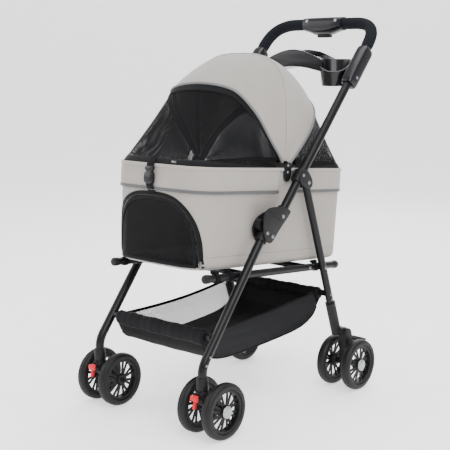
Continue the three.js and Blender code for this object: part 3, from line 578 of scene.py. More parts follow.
def sheer_net(looks):
    return netting("Sheer netting", (0.02, 0.02, 0.022), looks.net_pitch / 1000 * 1.2, 0.3)


# ---- The pieces -----------------------------------------------------------------------------------
def frame_tubes(looks):
    """The legs, handle tubes and rear legs, and the cross tubes between them."""
    sides = looks.tube_sides
    for side, sign in SIDES:
        x = sign * LEG_X
        bend = FOLD_ALONG + (SWIVEL_Y - on_leg(x, FOLD_ALONG).y) / math.cos(LEG_ANGLE)
        bm = bmesh.new()
        add_tube(bm, fillet([on_leg(x, 150), on_leg(x, bend), (x, SWIVEL_Y, 128)], 20), TUBE_R, sides)
        solid(f"leg_tube_{side}", bm, "front_frame", paint(),
              nodes=[f"front_leg_{side}"])
        bm = bmesh.new()
        add_tube(bm, [on_handle(x, 166), on_handle(x, 661.7)], TUBE_R, sides)
        solid(f"handle_tube_{side}", bm, "handle_frame", paint(),
              nodes=[f"upper_tube_{side}"])
        bm = bmesh.new()
        add_tube(bm, [on_rear_leg(x, -4), on_rear_leg(x, 436)], REAR_TUBE_R, sides)
        solid(f"rear_leg_tube_{side}", bm, "rear_legs", paint(),
              nodes=[f"rear_leg_{side}"])
    for name, body, point in (("front_cross_tube", "front_frame", on_leg(0, -174)),
                              ("rear_cross_tube", "rear_legs", on_rear_leg(0, 324))):
        bm = bmesh.new()
        half = 169 if body == "front_frame" else 170
        add_tube(bm, [(-half, point.y, point.z), (half, point.y, point.z)], CROSS_TUBE_R, sides)
        solid(f"{name}_shaped", bm, body, paint(), nodes=[name])


def fold_joints(looks):
    """Each fold joint: two cover plates on the handle tube, a collar on the leg."""
    cover = [(139, -66), (158, -64), (179, -42), (191, -23), (199, -9), (205, 14), (190, 14),
             (161, 9), (130, 5), (106, 4), (96, -2.5), (93, -18), (99, -31), (110, -46), (127, -59)]
    inner_cover = [(112, -47), (140, -48), (160, -36), (185, -18), (200, -6), (204, 12), (190, 13),
                   (161, 9), (130, 5), (106, 4), (96, -2.5), (94, -18), (101, -34)]
    for side, sign in SIDES:
        x = sign * LEG_X
        bm = bmesh.new()
        for shape, x0 in ((cover, 15.7), (inner_cover, -19.7)):
            outline = [tuple(on_line(0, a, n).yz) for a, n in soften(shape)]
            low = x + sign * x0 if sign > 0 else x - x0 - 4
            add_plate(bm, outline, "x", low, low + 4, looks.plate_bevel, 3)
        rings = rings_along([on_handle(x, 167), on_handle(x, 203)], circle(15.5, 28))
        add_loft(bm, rings)
        seam = [on_line(x + sign * 20, a, n) for a, n in ((157, -58), (160, -25), (163, 5))]
        add_tube(bm, seam, 0.6, 8)
        solid(f"fold_cover_{side}", bm, "handle_frame", matte(),
              nodes=[f"upper_hinge_{side}"])
        bm = bmesh.new()
        add_tube(bm, [on_leg(x, 91), on_leg(x, 148)], 15, looks.tube_sides)
        lug = FOLD_PIVOT + Vector((x, 0, 0))
        add_tube(bm, [lug - Vector((6, 0, 0)), lug + Vector((6, 0, 0))], 9, 20)
        lobe = soften([(110, -58), (135, -58), (135, -28), (110, -28)], 2)
        add_plate(bm, [tuple(on_line(0, a, n).yz) for a, n in lobe], "x", x - 8, x + 8, 1.5, 2)
        solid(f"fold_collar_{side}", bm, "front_frame", matte(),
              nodes=[f"lower_hinge_{side}"])


def rear_brackets(looks):
    """The plates and collars that hold the rear legs."""
    outer = [(285, -10), (320, -10), (323, 12), (318, 34), (311, 44), (303, 47), (294, 44),
             (287, 34), (281, 12)]
    for side, sign in SIDES:
        x = sign * LEG_X
        bm = bmesh.new()
        outline = [tuple(on_line(0, a, n).yz) for a, n in soften(outer)]
        for x0, x1 in ((10.6, 15), (-15, -10.6)):
            add_plate(bm, outline, "x", x + x0, x + x1, looks.plate_bevel, 3)
        add_tube(bm, [on_handle(x, 283), on_handle(x, 321)], 14.6, looks.tube_sides)
        solid(f"leg_bracket_{side}", bm, "handle_frame", matte(),
              nodes=[f"rear_bracket_{side}"])


def wheels(looks):
    """Tyres with rounded shoulders, dished rims with V-pairs of spokes, and silver hub caps."""
    tyre = [(51.9, -10), (54, -12.4), (58, -13), (62, -12.4), (65.2, -10.4), (67.2, -7), (67.9, -4.6),
            (67.3, -4.2), (67.3, -3.6), (68, -3), (68, 3), (67.3, 3.6), (67.3, 4.2), (67.9, 4.6),
            (67.2, 7), (65.2, 10.4), (62, 12.4), (58, 13), (54, 12.4), (51.9, 10), (50.9, 0)]
    rim = [(46, -8.5), (49.5, -10), (51.6, -9.6), (51.6, 9.6), (49.5, 10), (46, 8.5), (44.8, 0)]
    hub = [(4.3, -11.6), (12.5, -11.6), (14, -10), (15.5, 0), (14, 10), (12.5, 11.6), (4.3, 11.6)]
    for side, sign in SIDES:
        for place, way in (("outer", 1), ("inner", -1)):
            for end, x0, y in (("front", LEG_X, FRONT_AXLE_Y), ("rear", REAR_WHEEL_X, REAR_AXLE_Y)):
                body = f"{end}_wheel_{side}_{place}"
                face = sign * way
                centre = Vector((sign * (x0 + way * WHEEL_APART), y, WHEEL_R))
                bm = bmesh.new()
                add_turned(bm, tyre, centre, (1, 0, 0), 96)
                solid(f"tyre_{end}_{side}_{place}", bm, body, rubber(),
                      nodes=[f"{end}_tyre_{side}_{place}"])
                bm = bmesh.new()
                add_turned(bm, rim, centre, (1, 0, 0), 72)
                add_turned(bm, hub, centre, (1, 0, 0), 48)
                for i in range(looks.spoke_pairs):
                    a = 2 * math.pi * (i + 0.5) / looks.spoke_pairs
                    for k in (-1, 1):
                        p = centre + Vector((face * 5, 13 * math.cos(a + k * 0.13),
                                             13 * math.sin(a + k * 0.13)))
                        q = centre + Vector((face * 1, 47.5 * math.cos(a + k * 0.15),
                                             47.5 * math.sin(a + k * 0.15)))
                        add_loft(bm, rings_along([p, q], [(-3, -1.2), (3, -1.2), (3.6, 0), (3, 1.2),
                                                          (-3, 1.2), (-3.6, 0)], Vector((1, 0, 0))))
                solid(f"rim_{end}_{side}_{place}", bm, body, matte(),
                      nodes=[f"{end}_rim_{side}_{place}"])
                if way == 1:
                    bm = bmesh.new()
                    cap = [(0, 16.2), (8, 16), (12.5, 15), (14.6, 13), (15.2, 11.7), (6.7, 11.7),
                           (6.7, 14.8), (0, 14.8)]
                    add_turned(bm, [(r, face * a) for r, a in cap], centre, (1, 0, 0), 48)
                    solid(f"hub_cap_{end}_{side}", bm, body, silver())


def lever_ears(bm, x, half, ear, y, z, r, reach):
    """Two ears with a pin between them, for a small lever."""
    for x0, x1 in ((x - half - ear, x - half), (x + half, x + half + ear)):
        add_box(bm, (x0, min(y, reach) - 0.5, z - r), (x1, max(y, reach), z + r), 1)
    add_tube(bm, [(x - half - ear, y, z), (x + half + ear, y, z)], 1.8, 12)


def add_axle(bm, x, y):
    """An axle with its shoulders and end washers, for a pair of wheels."""
    for reach, r in ((53.6, 4), (26.7, 8)):
        add_tube(bm, [(x - reach, y, WHEEL_R), (x + reach, y, WHEEL_R)], r, 24)
    for k in (-1, 1):
        add_turned(bm, [(0, 51.3), (6, 51.3), (6.4, 52), (6, 53.6), (0, 53.6)] if k > 0 else
                   [(0, -51.3), (6, -51.3), (6.4, -52), (6, -53.6), (0, -53.6)],
                   (x, y, WHEEL_R), (1, 0, 0), 24)


def casters(looks):
    """The sockets, the forks with their axles, and the swivel-lock levers."""
    for side, sign in SIDES:
        x = sign * LEG_X
        bm = bmesh.new()
        add_turned(bm, [(0, 124), (5.3, 124), (5.3, 118), (14.4, 118), (15, 119.5), (14.6, 132),
                        (13.8, 145), (12.6, 149.4), (11.3, 150), (11.3, 127.4), (0, 127.4)],
                   (x, SWIVEL_Y, 0), (0, 0, 1), 40)
        solid(f"socket_{side}", bm, "front_frame", matte(),
              nodes=[f"caster_socket_{side}"])
        y = FRONT_AXLE_Y
        body = [(-291, 117.4), (-259, 117.4), (y + 12, 90), (y + 14, 68), (y + 6, 55), (y - 8, 56),
                (y - 18, 72), (-291, 91.4)]
        bm = bmesh.new()
        add_plate(bm, soften(body, 2), "x", x - 12, x + 12, looks.plate_bevel + 0.6, 3)
        add_turned(bm, [(0, 108), (15.4, 108), (16.4, 110), (16.4, 116), (15.6, 117.4), (5, 117.4),
                        (5, 123.7), (0, 123.7)], (x, SWIVEL_Y, 0), (0, 0, 1), 36)
        add_axle(bm, x, y)
        lever_ears(bm, x, 8.4, 3, LOCK_Y, LOCK_Z, 4, -290)
        solid(f"fork_{side}", bm, f"caster_{side}", matte(),
              nodes=[f"caster_fork_{side}"])
        bm = bmesh.new()
        add_turned(bm, [(2.1, -8), (4.2, -8), (4.4, -7), (4.4, 7), (4.2, 8), (2.1, 8)],
                   (x, LOCK_Y, LOCK_Z), (1, 0, 0), 24)
        add_plate(bm, soften([(-300, 104), (-293, 104), (-295, 90), (-299, 79), (-307, 78),
                              (-303, 92)], 2), "x", x - 3.8, x + 3.8, 1.3, 3)
        add_plate(bm, soften([(-305, 109), (-299, 111), (-299.6, 98), (-305.4, 97)], 2), "x",
                  x - 12, x + 12, 1.6, 3)
        solid(f"lock_lever_{side}", bm, f"swivel_lock_{side}", red(),
              nodes=[f"swivel_lock_{side}"])


def rear_housings(looks):
    """The rear wheels' mounts with their axles, and the brake pedals."""
    y = REAR_AXLE_Y
    for side, sign in SIDES:
        x, leg = sign * REAR_WHEEL_X, sign * LEG_X
        bm = bmesh.new()
        add_tube(bm, [on_rear_leg(leg, 350), on_rear_leg(leg, 353), on_rear_leg(leg, 446)], 13.5,
                 looks.tube_sides)
        block = [(y - 22, 164), (y + 4, 164), (y + 12, 140), (y + 14, 105), (y + 14, 62),
                 (y + 2, 53), (y - 12, 58), (y - 18, 98)]
        add_plate(bm, soften(block, 2), "x", x - 12, x + 12, looks.plate_bevel + 0.6, 3)
        add_box(bm, (min(leg, x), y - 21, 150), (max(leg, x), y + 2, 163.9), 2)
        add_axle(bm, x, y)
        lever_ears(bm, x, 8, 4, PEDAL_Y, PEDAL_Z, 5, 282)
        solid(f"rear_mount_{side}", bm, "rear_legs", matte(),
              nodes=[f"rear_housing_{side}"])
        bm = bmesh.new()
        add_turned(bm, [(2.1, -7.6), (4.8, -7.6), (5, -7), (5, 7), (4.8, 7.6), (2.1, 7.6)],
                   (x, PEDAL_Y, PEDAL_Z), (1, 0, 0), 24)
        add_box(bm, (x - 7.4, 296, 115), (x + 7.4, 307, 121), 1.4)
        add_plate(bm, soften([(302, 116.5), (304, 123), (327, 126), (335, 123), (335, 119),
                              (327, 120)], 2), "x", x - 22, x + 22, 1.6, 3)
        for i in range(4):
            top = 124.9 + i * 0.55
            add_box(bm, (x - 18, 308.5 + i * 5, top - 1), (x + 18, 310.6 + i * 5, top + 0.5), 0.4)
        solid(f"pedal_{side}", bm, f"brake_pedal_{side}", matte(),
              nodes=[f"brake_pedal_{side}"])


def handle(looks):
    """The loop, its foam, the sleeves, the central cover, the button and the screws."""
    loop = [on_handle(LEG_X, 725.3), on_handle(LEG_X, 820), on_handle(-LEG_X, 820),
            on_handle(-LEG_X, 725.3)]
    bm = bmesh.new()
    line = fillet([on_handle(LEG_X, 662), *loop[1:3], on_handle(-LEG_X, 662)], 78, 14)
    add_tube(bm, line, TUBE_R, looks.tube_sides)
    solid("handle_loop", bm, "handle_frame", paint(), nodes=["handle_tube"])
    bm = bmesh.new()
    rings = rings_along(fillet(loop, 78, 14), circle(16, 36))
    for i, k in ((0, 0.93), (-1, 0.93)):
        middle = sum(rings[i], Vector()) / 36
        rings[i] = [middle + (p - middle) * k for p in rings[i]]
    add_loft(bm, rings)
    solid("grip_foam", bm, "handle_frame", foam(), nodes=["foam_grip"])
    for side, sign in SIDES:
        x = sign * LEG_X
        bm = bmesh.new()
        rings = []
        for a, k in ((603, 0.8), (603.6, 0.88), (607, 0.96), (616, 1), (712, 1), (721, 0.96),
                     (724.4, 0.88), (725, 0.8)):
            ring = []
            for i in range(40):
                t = 2 * math.pi * i / 40
                u, v = math.cos(t), math.sin(t)
                ring.append(on_line(x + 18 * k * math.copysign(abs(u) ** 0.5, u), a,
                                    8 + 20 * k * math.copysign(abs(v) ** 0.5, v)))
            rings.append(ring)
        add_loft(bm, rings)
        inner = x - sign * 18
        add_plate(bm, soften([tuple(on_line(0, a, n).yz) for a, n in
                              ((612, -4), (716, -4), (716, 20), (612, 20))], 2), "x",
                  inner - 0.6, inner + 0.6, 0.4, 2)
        solid(f"sleeve_{side}", bm, "handle_frame", gloss(),
              nodes=[f"handle_sleeve_{side}"])
    centre = on_handle(0, 820)
    bm = bmesh.new()
    rings = []
    for x, k, belly in ((-66, 0.86, 0), (-65, 0.93, 0), (-60, 0.97, 0), (-40, 1, 0.5), (-28, 1, 1),
                        (28, 1, 1), (40, 1, 0.5), (60, 0.97, 0), (65, 0.93, 0), (66, 0.86, 0)):
        ring = []
        for i in range(44):
            t = 2 * math.pi * i / 44
            u, v = math.cos(t), math.sin(t)
            reach = 20 * k if v > 0 else (20 + 10 * belly) * k
            ring.append((x, centre.y + 21 * k * math.copysign(abs(u) ** 0.8, u),
                         centre.z + reach * math.copysign(abs(v) ** 0.8, v)))
        rings.append(ring)
    add_loft(bm, rings)
    solid("grip_cover", bm, "handle_frame", gloss(), nodes=["grip_housing"])
    top = centre.z - 22.2
    bm = bmesh.new()
    add_box(bm, (-21, centre.y - 9, top - 14.9), (21, centre.y + 9, top - 1), 3, 3)
    solid("fold_button", bm, "release_button", matte(), nodes=["release_button"])
    bm = bmesh.new()
    for x in (-52, 52):
        add_turned(bm, [(0, -21.8), (3.4, -21.8), (4, -21), (4, -17), (0, -17)],
                   (x * 0.94, centre.y, centre.z + 9), (0, 1, 0), 24)
    solid("grip_screws", bm, "handle_frame", silver())


def cup_tray():
    """Two flared cups and an arched bridge with a recess between them."""
    bm = bmesh.new()
    cup = [(0, 808), (34.5, 808), (36, 809.5), (42.4, 872), (43.6, 874), (44.6, 877), (44, 879.6),
           (42.6, 880.4), (41, 879.6), (39.8, 874), (33.4, 814), (32, 811.2), (0, 811)]
    for sign in (1, -1):
        add_turned(bm, cup, (sign * CUP_X, CUP_Y, 0), (0, 0, 1), 72)

    for v in bm.verts:
        sign = math.copysign(1, v.co.x)
        out = Vector((v.co.x * sign - CUP_X, v.co.y - CUP_Y)).dot(Vector((0.45, -0.89))) / 43
        if out > 0 and v.co.z > 826:
            v.co.z -= 34 * min(1, out) ** 0.9 * (v.co.z - 826) / 54

    def end(y, z):
        """Where the bridge meets a cup's wall."""
        r = 36.6 + 6 * (z - 808) / 72
        return CUP_X - math.sqrt(max(r * r - (y - CUP_Y) ** 2, 60))

    count = 24
    rings = []
    for y in (276, 276.6, 278.5, 284, 300, 314, 328, 344, 349.5, 351.4, 352):
        lift = -3 * (1 - min(1, min(y - 276, 352 - y) / 2.5)) ** 2
        top, low = [], []
        for i in range(count + 1):
            t = 2 * i / count - 1
            rise = math.cos(t * math.pi / 2)
            z = 880 + 26 * rise + lift
            top.append((t * end(y, 878), y, z))
            floor = 846 + 14 * rise - lift
            low.append((t * end(y, floor), y, floor))
        rings.append(low + top[::-1])
    before = set(bm.faces)
    add_loft(bm, rings)
    floor = [f for f in bm.faces if f not in before and f.calc_center_median().z > 884
             and abs(f.calc_center_median().x) < 62 and 284 < f.calc_center_median().y < 344]
    made = bmesh.ops.extrude_face_region(bm, geom=floor)["geom"]
    dropped = [g for g in made if isinstance(g, bmesh.types.BMVert)]
    for v in dropped:
        rise = math.cos(v.co.x / 96 * math.pi / 2)
        v.co.z = 856 + 8 * rise
    bmesh.ops.delete(bm, geom=[f for f in floor if f.is_valid], context="FACES_ONLY")
    solid("tray", bm, "handle_frame", gloss(), nodes=["cup_tray"], sharp=32)


def seat_base(looks):
    """The side bars on their posts, the cross tubes, end caps and tabs."""
    bm = bmesh.new()
    for sign in (1, -1):
        x = sign * BAR_X
        add_tube(bm, [(x, -127, 0), (x, 393, 0)], 9.5, looks.tube_sides)
        for y in (-74, 312):
            add_tube(bm, [(sign * 149, y, -2), (sign * 149, y, 16.2)], 5, 20)
    for y in (24, 268):
        add_tube(bm, [(-BAR_X, y, 0), (BAR_X, y, 0)], CROSS_TUBE_R, looks.tube_sides)
    solid("seat_frame", bm, "seat_base", paint(), CARRIER, ["seat_base"])
    bm = bmesh.new()
    for sign in (1, -1):
        for y, way in ((-112, -1), (378, 1)):
            add_turned(bm, [(9.6, 0), (10.6, way * 0.6), (10.8, way * 13), (9.6, way * 15.4),
                            (6, way * 16.4), (0, way * 16.6), (0, 0)],
                       (sign * BAR_X, y, 0), (0, 1, 0), 32)
    solid("bar_end_caps", bm, "seat_base", matte(), CARRIER)
    bm = bmesh.new()
    for sign in (1, -1):
        for y in (-88, -40, 300):
            add_turned(bm, [(9.9, -7), (11.3, -7), (11.5, -6), (11.5, 6), (11.3, 7), (9.9, 7)],
                       (sign * BAR_X, y, 0), (0, 1, 0), 32)
            add_box(bm, (sign * 151 - 6, y - 7, 9), (sign * 151 + 6, y + 7, 16.2), 0.8)
    solid("carrier_tabs", bm, "seat_base", webbing(), CARRIER)


def outline_reader(points):
    """Read a closed plan outline by the fraction of its length: (point, outward normal)."""
    lengths = [0.0]
    for a, b in zip(points, points[1:] + points[:1]):
        lengths.append(lengths[-1] + (b - a).length)
    total = lengths[-1]
    count = len(points)
    state = {"i": 0}

    def read(t):
        want = (t % 1.0) * total
        i = state["i"] if lengths[state["i"]] <= want else 0
        while lengths[i + 1] < want:
            i += 1
        state["i"] = i
        a, b = points[i], points[(i + 1) % count]
        k = (want - lengths[i]) / (lengths[i + 1] - lengths[i])
        before, after = points[i - 1], points[(i + 2) % count]
        run = (b - before).normalized().lerp((after - a).normalized(), k).normalized()
        return a.lerp(b, k), Vector((-run.y, run.x, 0))

    return read, total


def cabin_outline():
    """The cabin's plan outline above the floor, from the rear's middle round by the left."""
    points = []

    def arc(cx, cy, r, start, end, steps=28):
        for i in range(steps + 1):
            a = math.radians(start + (end - start) * i / steps)
            points.append(Vector((cx + r * math.cos(a), cy + r * math.sin(a), 0)))

    arc(CABIN_HALF - CORNER_REAR_R, CABIN_REAR - CORNER_REAR_R, CORNER_REAR_R, 90, 0)
    points.extend(Vector((CABIN_HALF, y, 0)) for y in range(360, -70, -12))
    arc(CABIN_HALF - CORNER_FRONT_R, CABIN_FRONT + CORNER_FRONT_R, CORNER_FRONT_R, 0, -90)
    points.extend(Vector((x, CABIN_FRONT, 0)) for x in range(80, 0, -8))
    right = [Vector((-p.x, p.y, 0)) for p in points[::-1]]
    ring = [Vector((0, CABIN_REAR, 0)), *points, Vector((0, CABIN_FRONT, 0)), *right]
    for p in ring:
        if p.y < CABIN_FRONT + CORNER_FRONT_R:
            p.y -= 9 * (1 - (p.x / CABIN_HALF) ** 2)
    return ring


READ_CABIN, CABIN_ROUND = outline_reader(cabin_outline())


def cabin_point(t, z, out=0.0):
    """A point on the cabin's outside, at a fraction of the way round and a height."""
    p, normal = READ_CABIN(t)
    k = min(1, max(0, (z - CABIN_BOTTOM) / (CABIN_BAND - CABIN_BOTTOM)))
    low = min(1, max(0, 1 - (z - CABIN_BOTTOM) / 14))
    grow = 6 * k * (1 - max(0, normal.y)) + out - 14 * (1 - math.sqrt(1 - low * low))
    sag = 1.5 * math.sin(math.pi * k) if abs(normal.x) > 0.9 else 0
    return Vector((p.x, p.y, z)) + normal * (grow + sag * (1 - abs(p.y - 150) / 240))


def in_door(x, z, grow=0.0):
    """True inside the arched doorway."""
    rise = (z - DOOR_SILL + grow) / (DOOR_APEX - DOOR_SILL + 2 * grow)
    return rise > 0 and (abs(x) / (DOOR_HALF + grow)) ** 3 + rise ** 3 < 1


def door_line(grow=0.0, steps=72):
    """The doorway's arch as (fraction round the cabin, height), left foot to right foot."""
    out = []
    for i in range(steps + 1):
        a = math.pi * i / steps
        x = (DOOR_HALF + grow) * math.copysign(abs(math.cos(a)) ** (2 / 3), math.cos(a))
        z = DOOR_SILL + (DOOR_APEX + grow - DOOR_SILL) * math.sin(a) ** (2 / 3)
        low, high = (0.3, 0.5) if x >= 0 else (0.5, 0.7)
        for _ in range(24):
            middle = (low + high) / 2
            if cabin_point(middle, z).x > x:
                low = middle
            else:
                high = middle
        out.append(((low + high) / 2, z))
    return out


def snap_to_door(t, z, line):
    """The doorway edge's nearest point to (t, z)."""
    return min(line, key=lambda p: ((p[0] - t) * CABIN_ROUND) ** 2 + (p[1] - z) ** 2)


def cabin():
    height = CABIN_TOP - CABIN_BOTTOM
    edge = door_line(0, 400)
    foot = [(edge[0][0] + (edge[-1][0] - edge[0][0]) * i / 200, DOOR_SILL) for i in range(201)]

    def height_at(v):
        return CABIN_BOTTOM + height * v

    def keep(u, v):
        p = cabin_point(u, height_at(v))
        return not (p.y < 0 and in_door(p.x, p.z))

    def snap(u, v):
        z = height_at(v)
        if not (0.3 < u < 0.7 and 0.01 < v < 0.95):
            return u, v
        t, z = snap_to_door(u, z, edge + foot)
        return t, (z - CABIN_BOTTOM) / height

    wall = cloth("cabin_wall", lambda u, v: cabin_point(u, height_at(v)), 300, 60,
                 (CABIN_ROUND, height), grey_cloth(), thick=3, keep=keep, snap=snap)
    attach(wall, "carrier")
    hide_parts("cabin")
    bm = bmesh.new()
    ring = [cabin_point(i / 120, CABIN_BOTTOM) for i in range(120)]
    add_loft(bm, [ring, [p + Vector((0, 0, 3.4)) for p in ring]])
    solid("cabin_floor", bm, "carrier", lining(), CARRIER)


def round_cabin(z, out, start=0.0, end=1.0, steps=240):
    return [cabin_point(start + (end - start) * i / steps, z, out) for i in range(steps + 1)]


def side_fraction(y):
    """How far round the cabin a point on its left side is."""
    low, high = 0.0, 0.5
    for _ in range(30):
        middle = (low + high) / 2
        if READ_CABIN(middle)[0].y > y:
            low = middle
        else:
            high = middle
    return low


def cabin_trim():
    front, rear = side_fraction(128), side_fraction(188)
    for name, a, b in (("front", front, 1 - front), ("rear", -rear, rear)):
        def place(u, v, a=a, b=b):
            z = 199 + 56 * v
            puff = 1.6 * math.sin(math.pi * v) + 0.5 * math.sin(u * 61) * math.sin(math.pi * v)
            return cabin_point(a + (b - a) * u, z, 3.6 + puff)

        band = cloth(f"skirt_{name}", place, 150, 12, (CABIN_ROUND * (b - a), 57), grey_cloth(),
                     thick=2)
        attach(band, "carrier")
        bm = bmesh.new()
        line = round_cabin(200.5, 6.4, a, b)
        add_strip(bm, line, lambda p, i, a=a, b=b: READ_CABIN(a + (b - a) * i / 240)[1], 7, 1.4)
        solid(f"reflective_strip_{name}", bm, "carrier", strip_cloth(), CARRIER)
    bm = bmesh.new()
    add_loft(bm, rings_along(round_cabin(255.5, 2.8), circle(4.6, 14)), caps=False)
    solid("rim_roll", bm, "carrier", grey_cloth(), CARRIER)
    bm = bmesh.new()
    count = 150
    for i in range(count):
        a, b = (i + 0.2) / count, (i + 0.8) / count
        p = [cabin_point(t, 48, 1.7) for t in (a, (a + b) / 2, b)]
        if not (p[1].y < 0 and in_door(p[1].x, 48, 12)):
            add_tube(bm, p, 0.45, 6)
    solid("bottom_stitching", bm, "carrier", strip_cloth(), CARRIER)


def door(looks):
    edge = door_line(-3.5, 300)
    foot = [(edge[0][0] + (edge[-1][0] - edge[0][0]) * i / 160, DOOR_SILL + 0.6)
            for i in range(161)]
    t0, t1 = edge[0][0] - 0.002, edge[-1][0] + 0.002
    z0, z1 = DOOR_SILL, DOOR_APEX + 4

    def at(u, v):
        return t0 + (t1 - t0) * u, z0 + (z1 - z0) * v

    def keep(u, v):
        t, z = at(u, v)
        return in_door(cabin_point(t, z).x, z, -3.5)

    def snap(u, v):
        t, z = snap_to_door(*at(u, v), edge + foot)
        return (t - t0) / (t1 - t0), (z - z0) / (z1 - z0)

    def place(u, v):
        return cabin_point(*at(u, v), -0.2)

    panel = cloth("door_mesh", place, 84, 48, (CABIN_ROUND * (t1 - t0), z1 - z0), black_net(looks),
                  thick=0.8, keep=keep, snap=snap)
    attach(panel, "door")
    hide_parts("door_panel")

    def outward(line):
        return lambda p, i: READ_CABIN(line[i][0])[1]

    for name, body, grow, width, thick, out in (
            ("door_binding", "door", -6.5, 7.5, 1.8, 1.2), ("door_zip_tape", "carrier", 4.2, 10, 1.6, 2.4)):
        line = door_line(grow)
        if name == "door_binding":
            low = [(line[-1][0] + (line[0][0] - line[-1][0]) * i / 30, DOOR_SILL + 3.5)
                   for i in range(1, 31)]
            line = line + low
        bm = bmesh.new()
        add_strip(bm, [cabin_point(t, z, out) for t, z in line], outward(line), width, thick)
        solid(name, bm, body, lining(), CARRIER)
    line = door_line(0.2)
    bm = bmesh.new()
    add_tube(bm, [cabin_point(t, z, 2.6) for t, z in line], 1.3, 10)
    solid("door_zip", bm, "carrier", matte(), CARRIER)
    foot = door_line(0.2)[0]
    bm = bmesh.new()
    p = cabin_point(foot[0], foot[1] + 8, 5)
    add_box(bm, p - Vector((3.4, 1.2, 9)), p + Vector((3.4, 1.2, 9)), 1)
    solid("door_zip_pull", bm, "carrier", steel(), CARRIER)


def bow_point(lower, upper, u, v, out=0.0, dip=0.0):
    """A point on the canopy between two bows."""
    a, b = lower[1], upper[1]
    i = min(int(u * (len(a) - 1)), len(a) - 2)
    k = u * (len(a) - 1) - i
    p = a[i].lerp(a[i + 1], k).lerp(b[i].lerp(b[i + 1], k), v)
    reach = p.xz.length
    scale = 1 + (out - dip * math.sin(math.pi * v) * min(1, reach / 160)) / reach
    return on_bow(lower[0] + (upper[0] - lower[0]) * v, p.x * scale, p.z * scale)


def full_bow(bow, offset=0.0):
    """A bow with its arch carried down to the pivot, as (angle, dense arch)."""
    angle, half = bow
    return angle, arch((angle, ((half[0][0] - 1, 17), *half)), offset)


def canopy():
    rear, middle, front = full_bow(REAR_BOW), full_bow(MIDDLE_BOW), full_bow(FRONT_BOW)
    for name, lower, upper, bodies, node_name in (
            ("canopy_back_panel", rear, middle, ("carrier", "canopy_hoop"), "canopy_rear"),
            ("canopy_front_panel", middle, front, ("canopy_hoop", "front_hoop"), "canopy_front")):
        size = (710, 226) if lower is rear else (690, 166)

        def place(u, v, lower=lower, upper=upper):
            pucker = 0.8 * math.sin(u * 140) * math.exp(-((v if lower is middle else 1 - v) * 9))
            return bow_point(lower, upper, u, v, pucker, 5)

        panel = cloth(name, place, 128, 30, size, grey_cloth())
        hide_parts(node_name)
        half = math.radians((lower[0] + upper[0]) / 2)
        across = Vector((0, -math.sin(half), math.cos(half)))
        reach = 110 if lower is rear else 80
        centre = Vector((0, PIVOT_Y, PIVOT_Z))
        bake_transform(panel, *bodies, CARRIER @ (centre - across * reach), CARRIER @ (centre + across * reach))


def bow_strip(bow, offset, width, thick, shift=0.0):
    """A tape over a bow, lying on the canopy."""
    angle, line = bow[0], arch(bow, offset)
    bm = bmesh.new()
    pts = [on_bow(angle + shift, p.x, p.z) for p in line]

    def outward(p, i):
        a, b = line[max(i - 1, 0)], line[min(i + 1, len(line) - 1)]
        run = (b - a).normalized()
        return on_bow(angle + shift, run.z, -run.x) - on_bow(angle + shift, 0, 0)

    add_strip(bm, pts, outward, width, thick)
    return bm


def bow_tube(bow, offset, r, shift=0.0, sides=14):
    angle, line = full_bow(bow, offset)
    bm = bmesh.new()
    add_tube(bm, [on_bow(angle + shift, p.x, p.z) for p in line], r, sides)
    return bm


def bows():
    for name, bow, body, nodes in (("front", FRONT_BOW, "front_hoop", ["front_bow"]),
                                   ("middle", MIDDLE_BOW, "canopy_hoop", []),
                                   ("rear", REAR_BOW, "carrier", [])):
        shift = {"front": -1.2, "middle": 0, "rear": 1.2}[name]
        solid(f"{name}_bow_rod", bow_tube(bow, -7.2, 2.5, shift), body, matte(),
              CARRIER, nodes)
        solid(f"{name}_bow_sleeve", bow_strip(bow, -3.8, 13, 1.6, shift), body, lining(),
              CARRIER)
    for name, bow, body, shift in (("front", FRONT_BOW, "front_hoop", 0.5),
                                   ("rear", REAR_BOW, "carrier", -0.6)):
        solid(f"{name}_piping", bow_tube(bow, 1, 3.2, shift), body, piping_cloth(),
              CARRIER)
    solid("middle_seam", bow_strip(MIDDLE_BOW, 0.8, 7, 1.6), "canopy_hoop", grey_cloth(),
          CARRIER)


def window_surface(forward):
    """The ruled surface of a mesh window, from its bow down to the cabin's rim."""
    bow = FRONT_BOW if forward else REAR_BOW
    angle = bow[0] + (1.2 if forward else -1.2)
    top = [on_bow(angle, p.x, p.z) for p in arch(bow, -2)]
    if forward:
        start = side_fraction(118)
        low = round_cabin(258, 1, start, 1 - start, 160)
    else:
        start = side_fraction(196)
        low = round_cabin(258, 1, start, -start, 160)

    def place(u, v):
        p = along(top, u).lerp(along(low, u), v)
        inward = Vector((0, PIVOT_Y, PIVOT_Z + 90)) - p
        return p + inward.normalized() * 4 * math.sin(math.pi * v) * math.sin(math.pi * u)

    return place


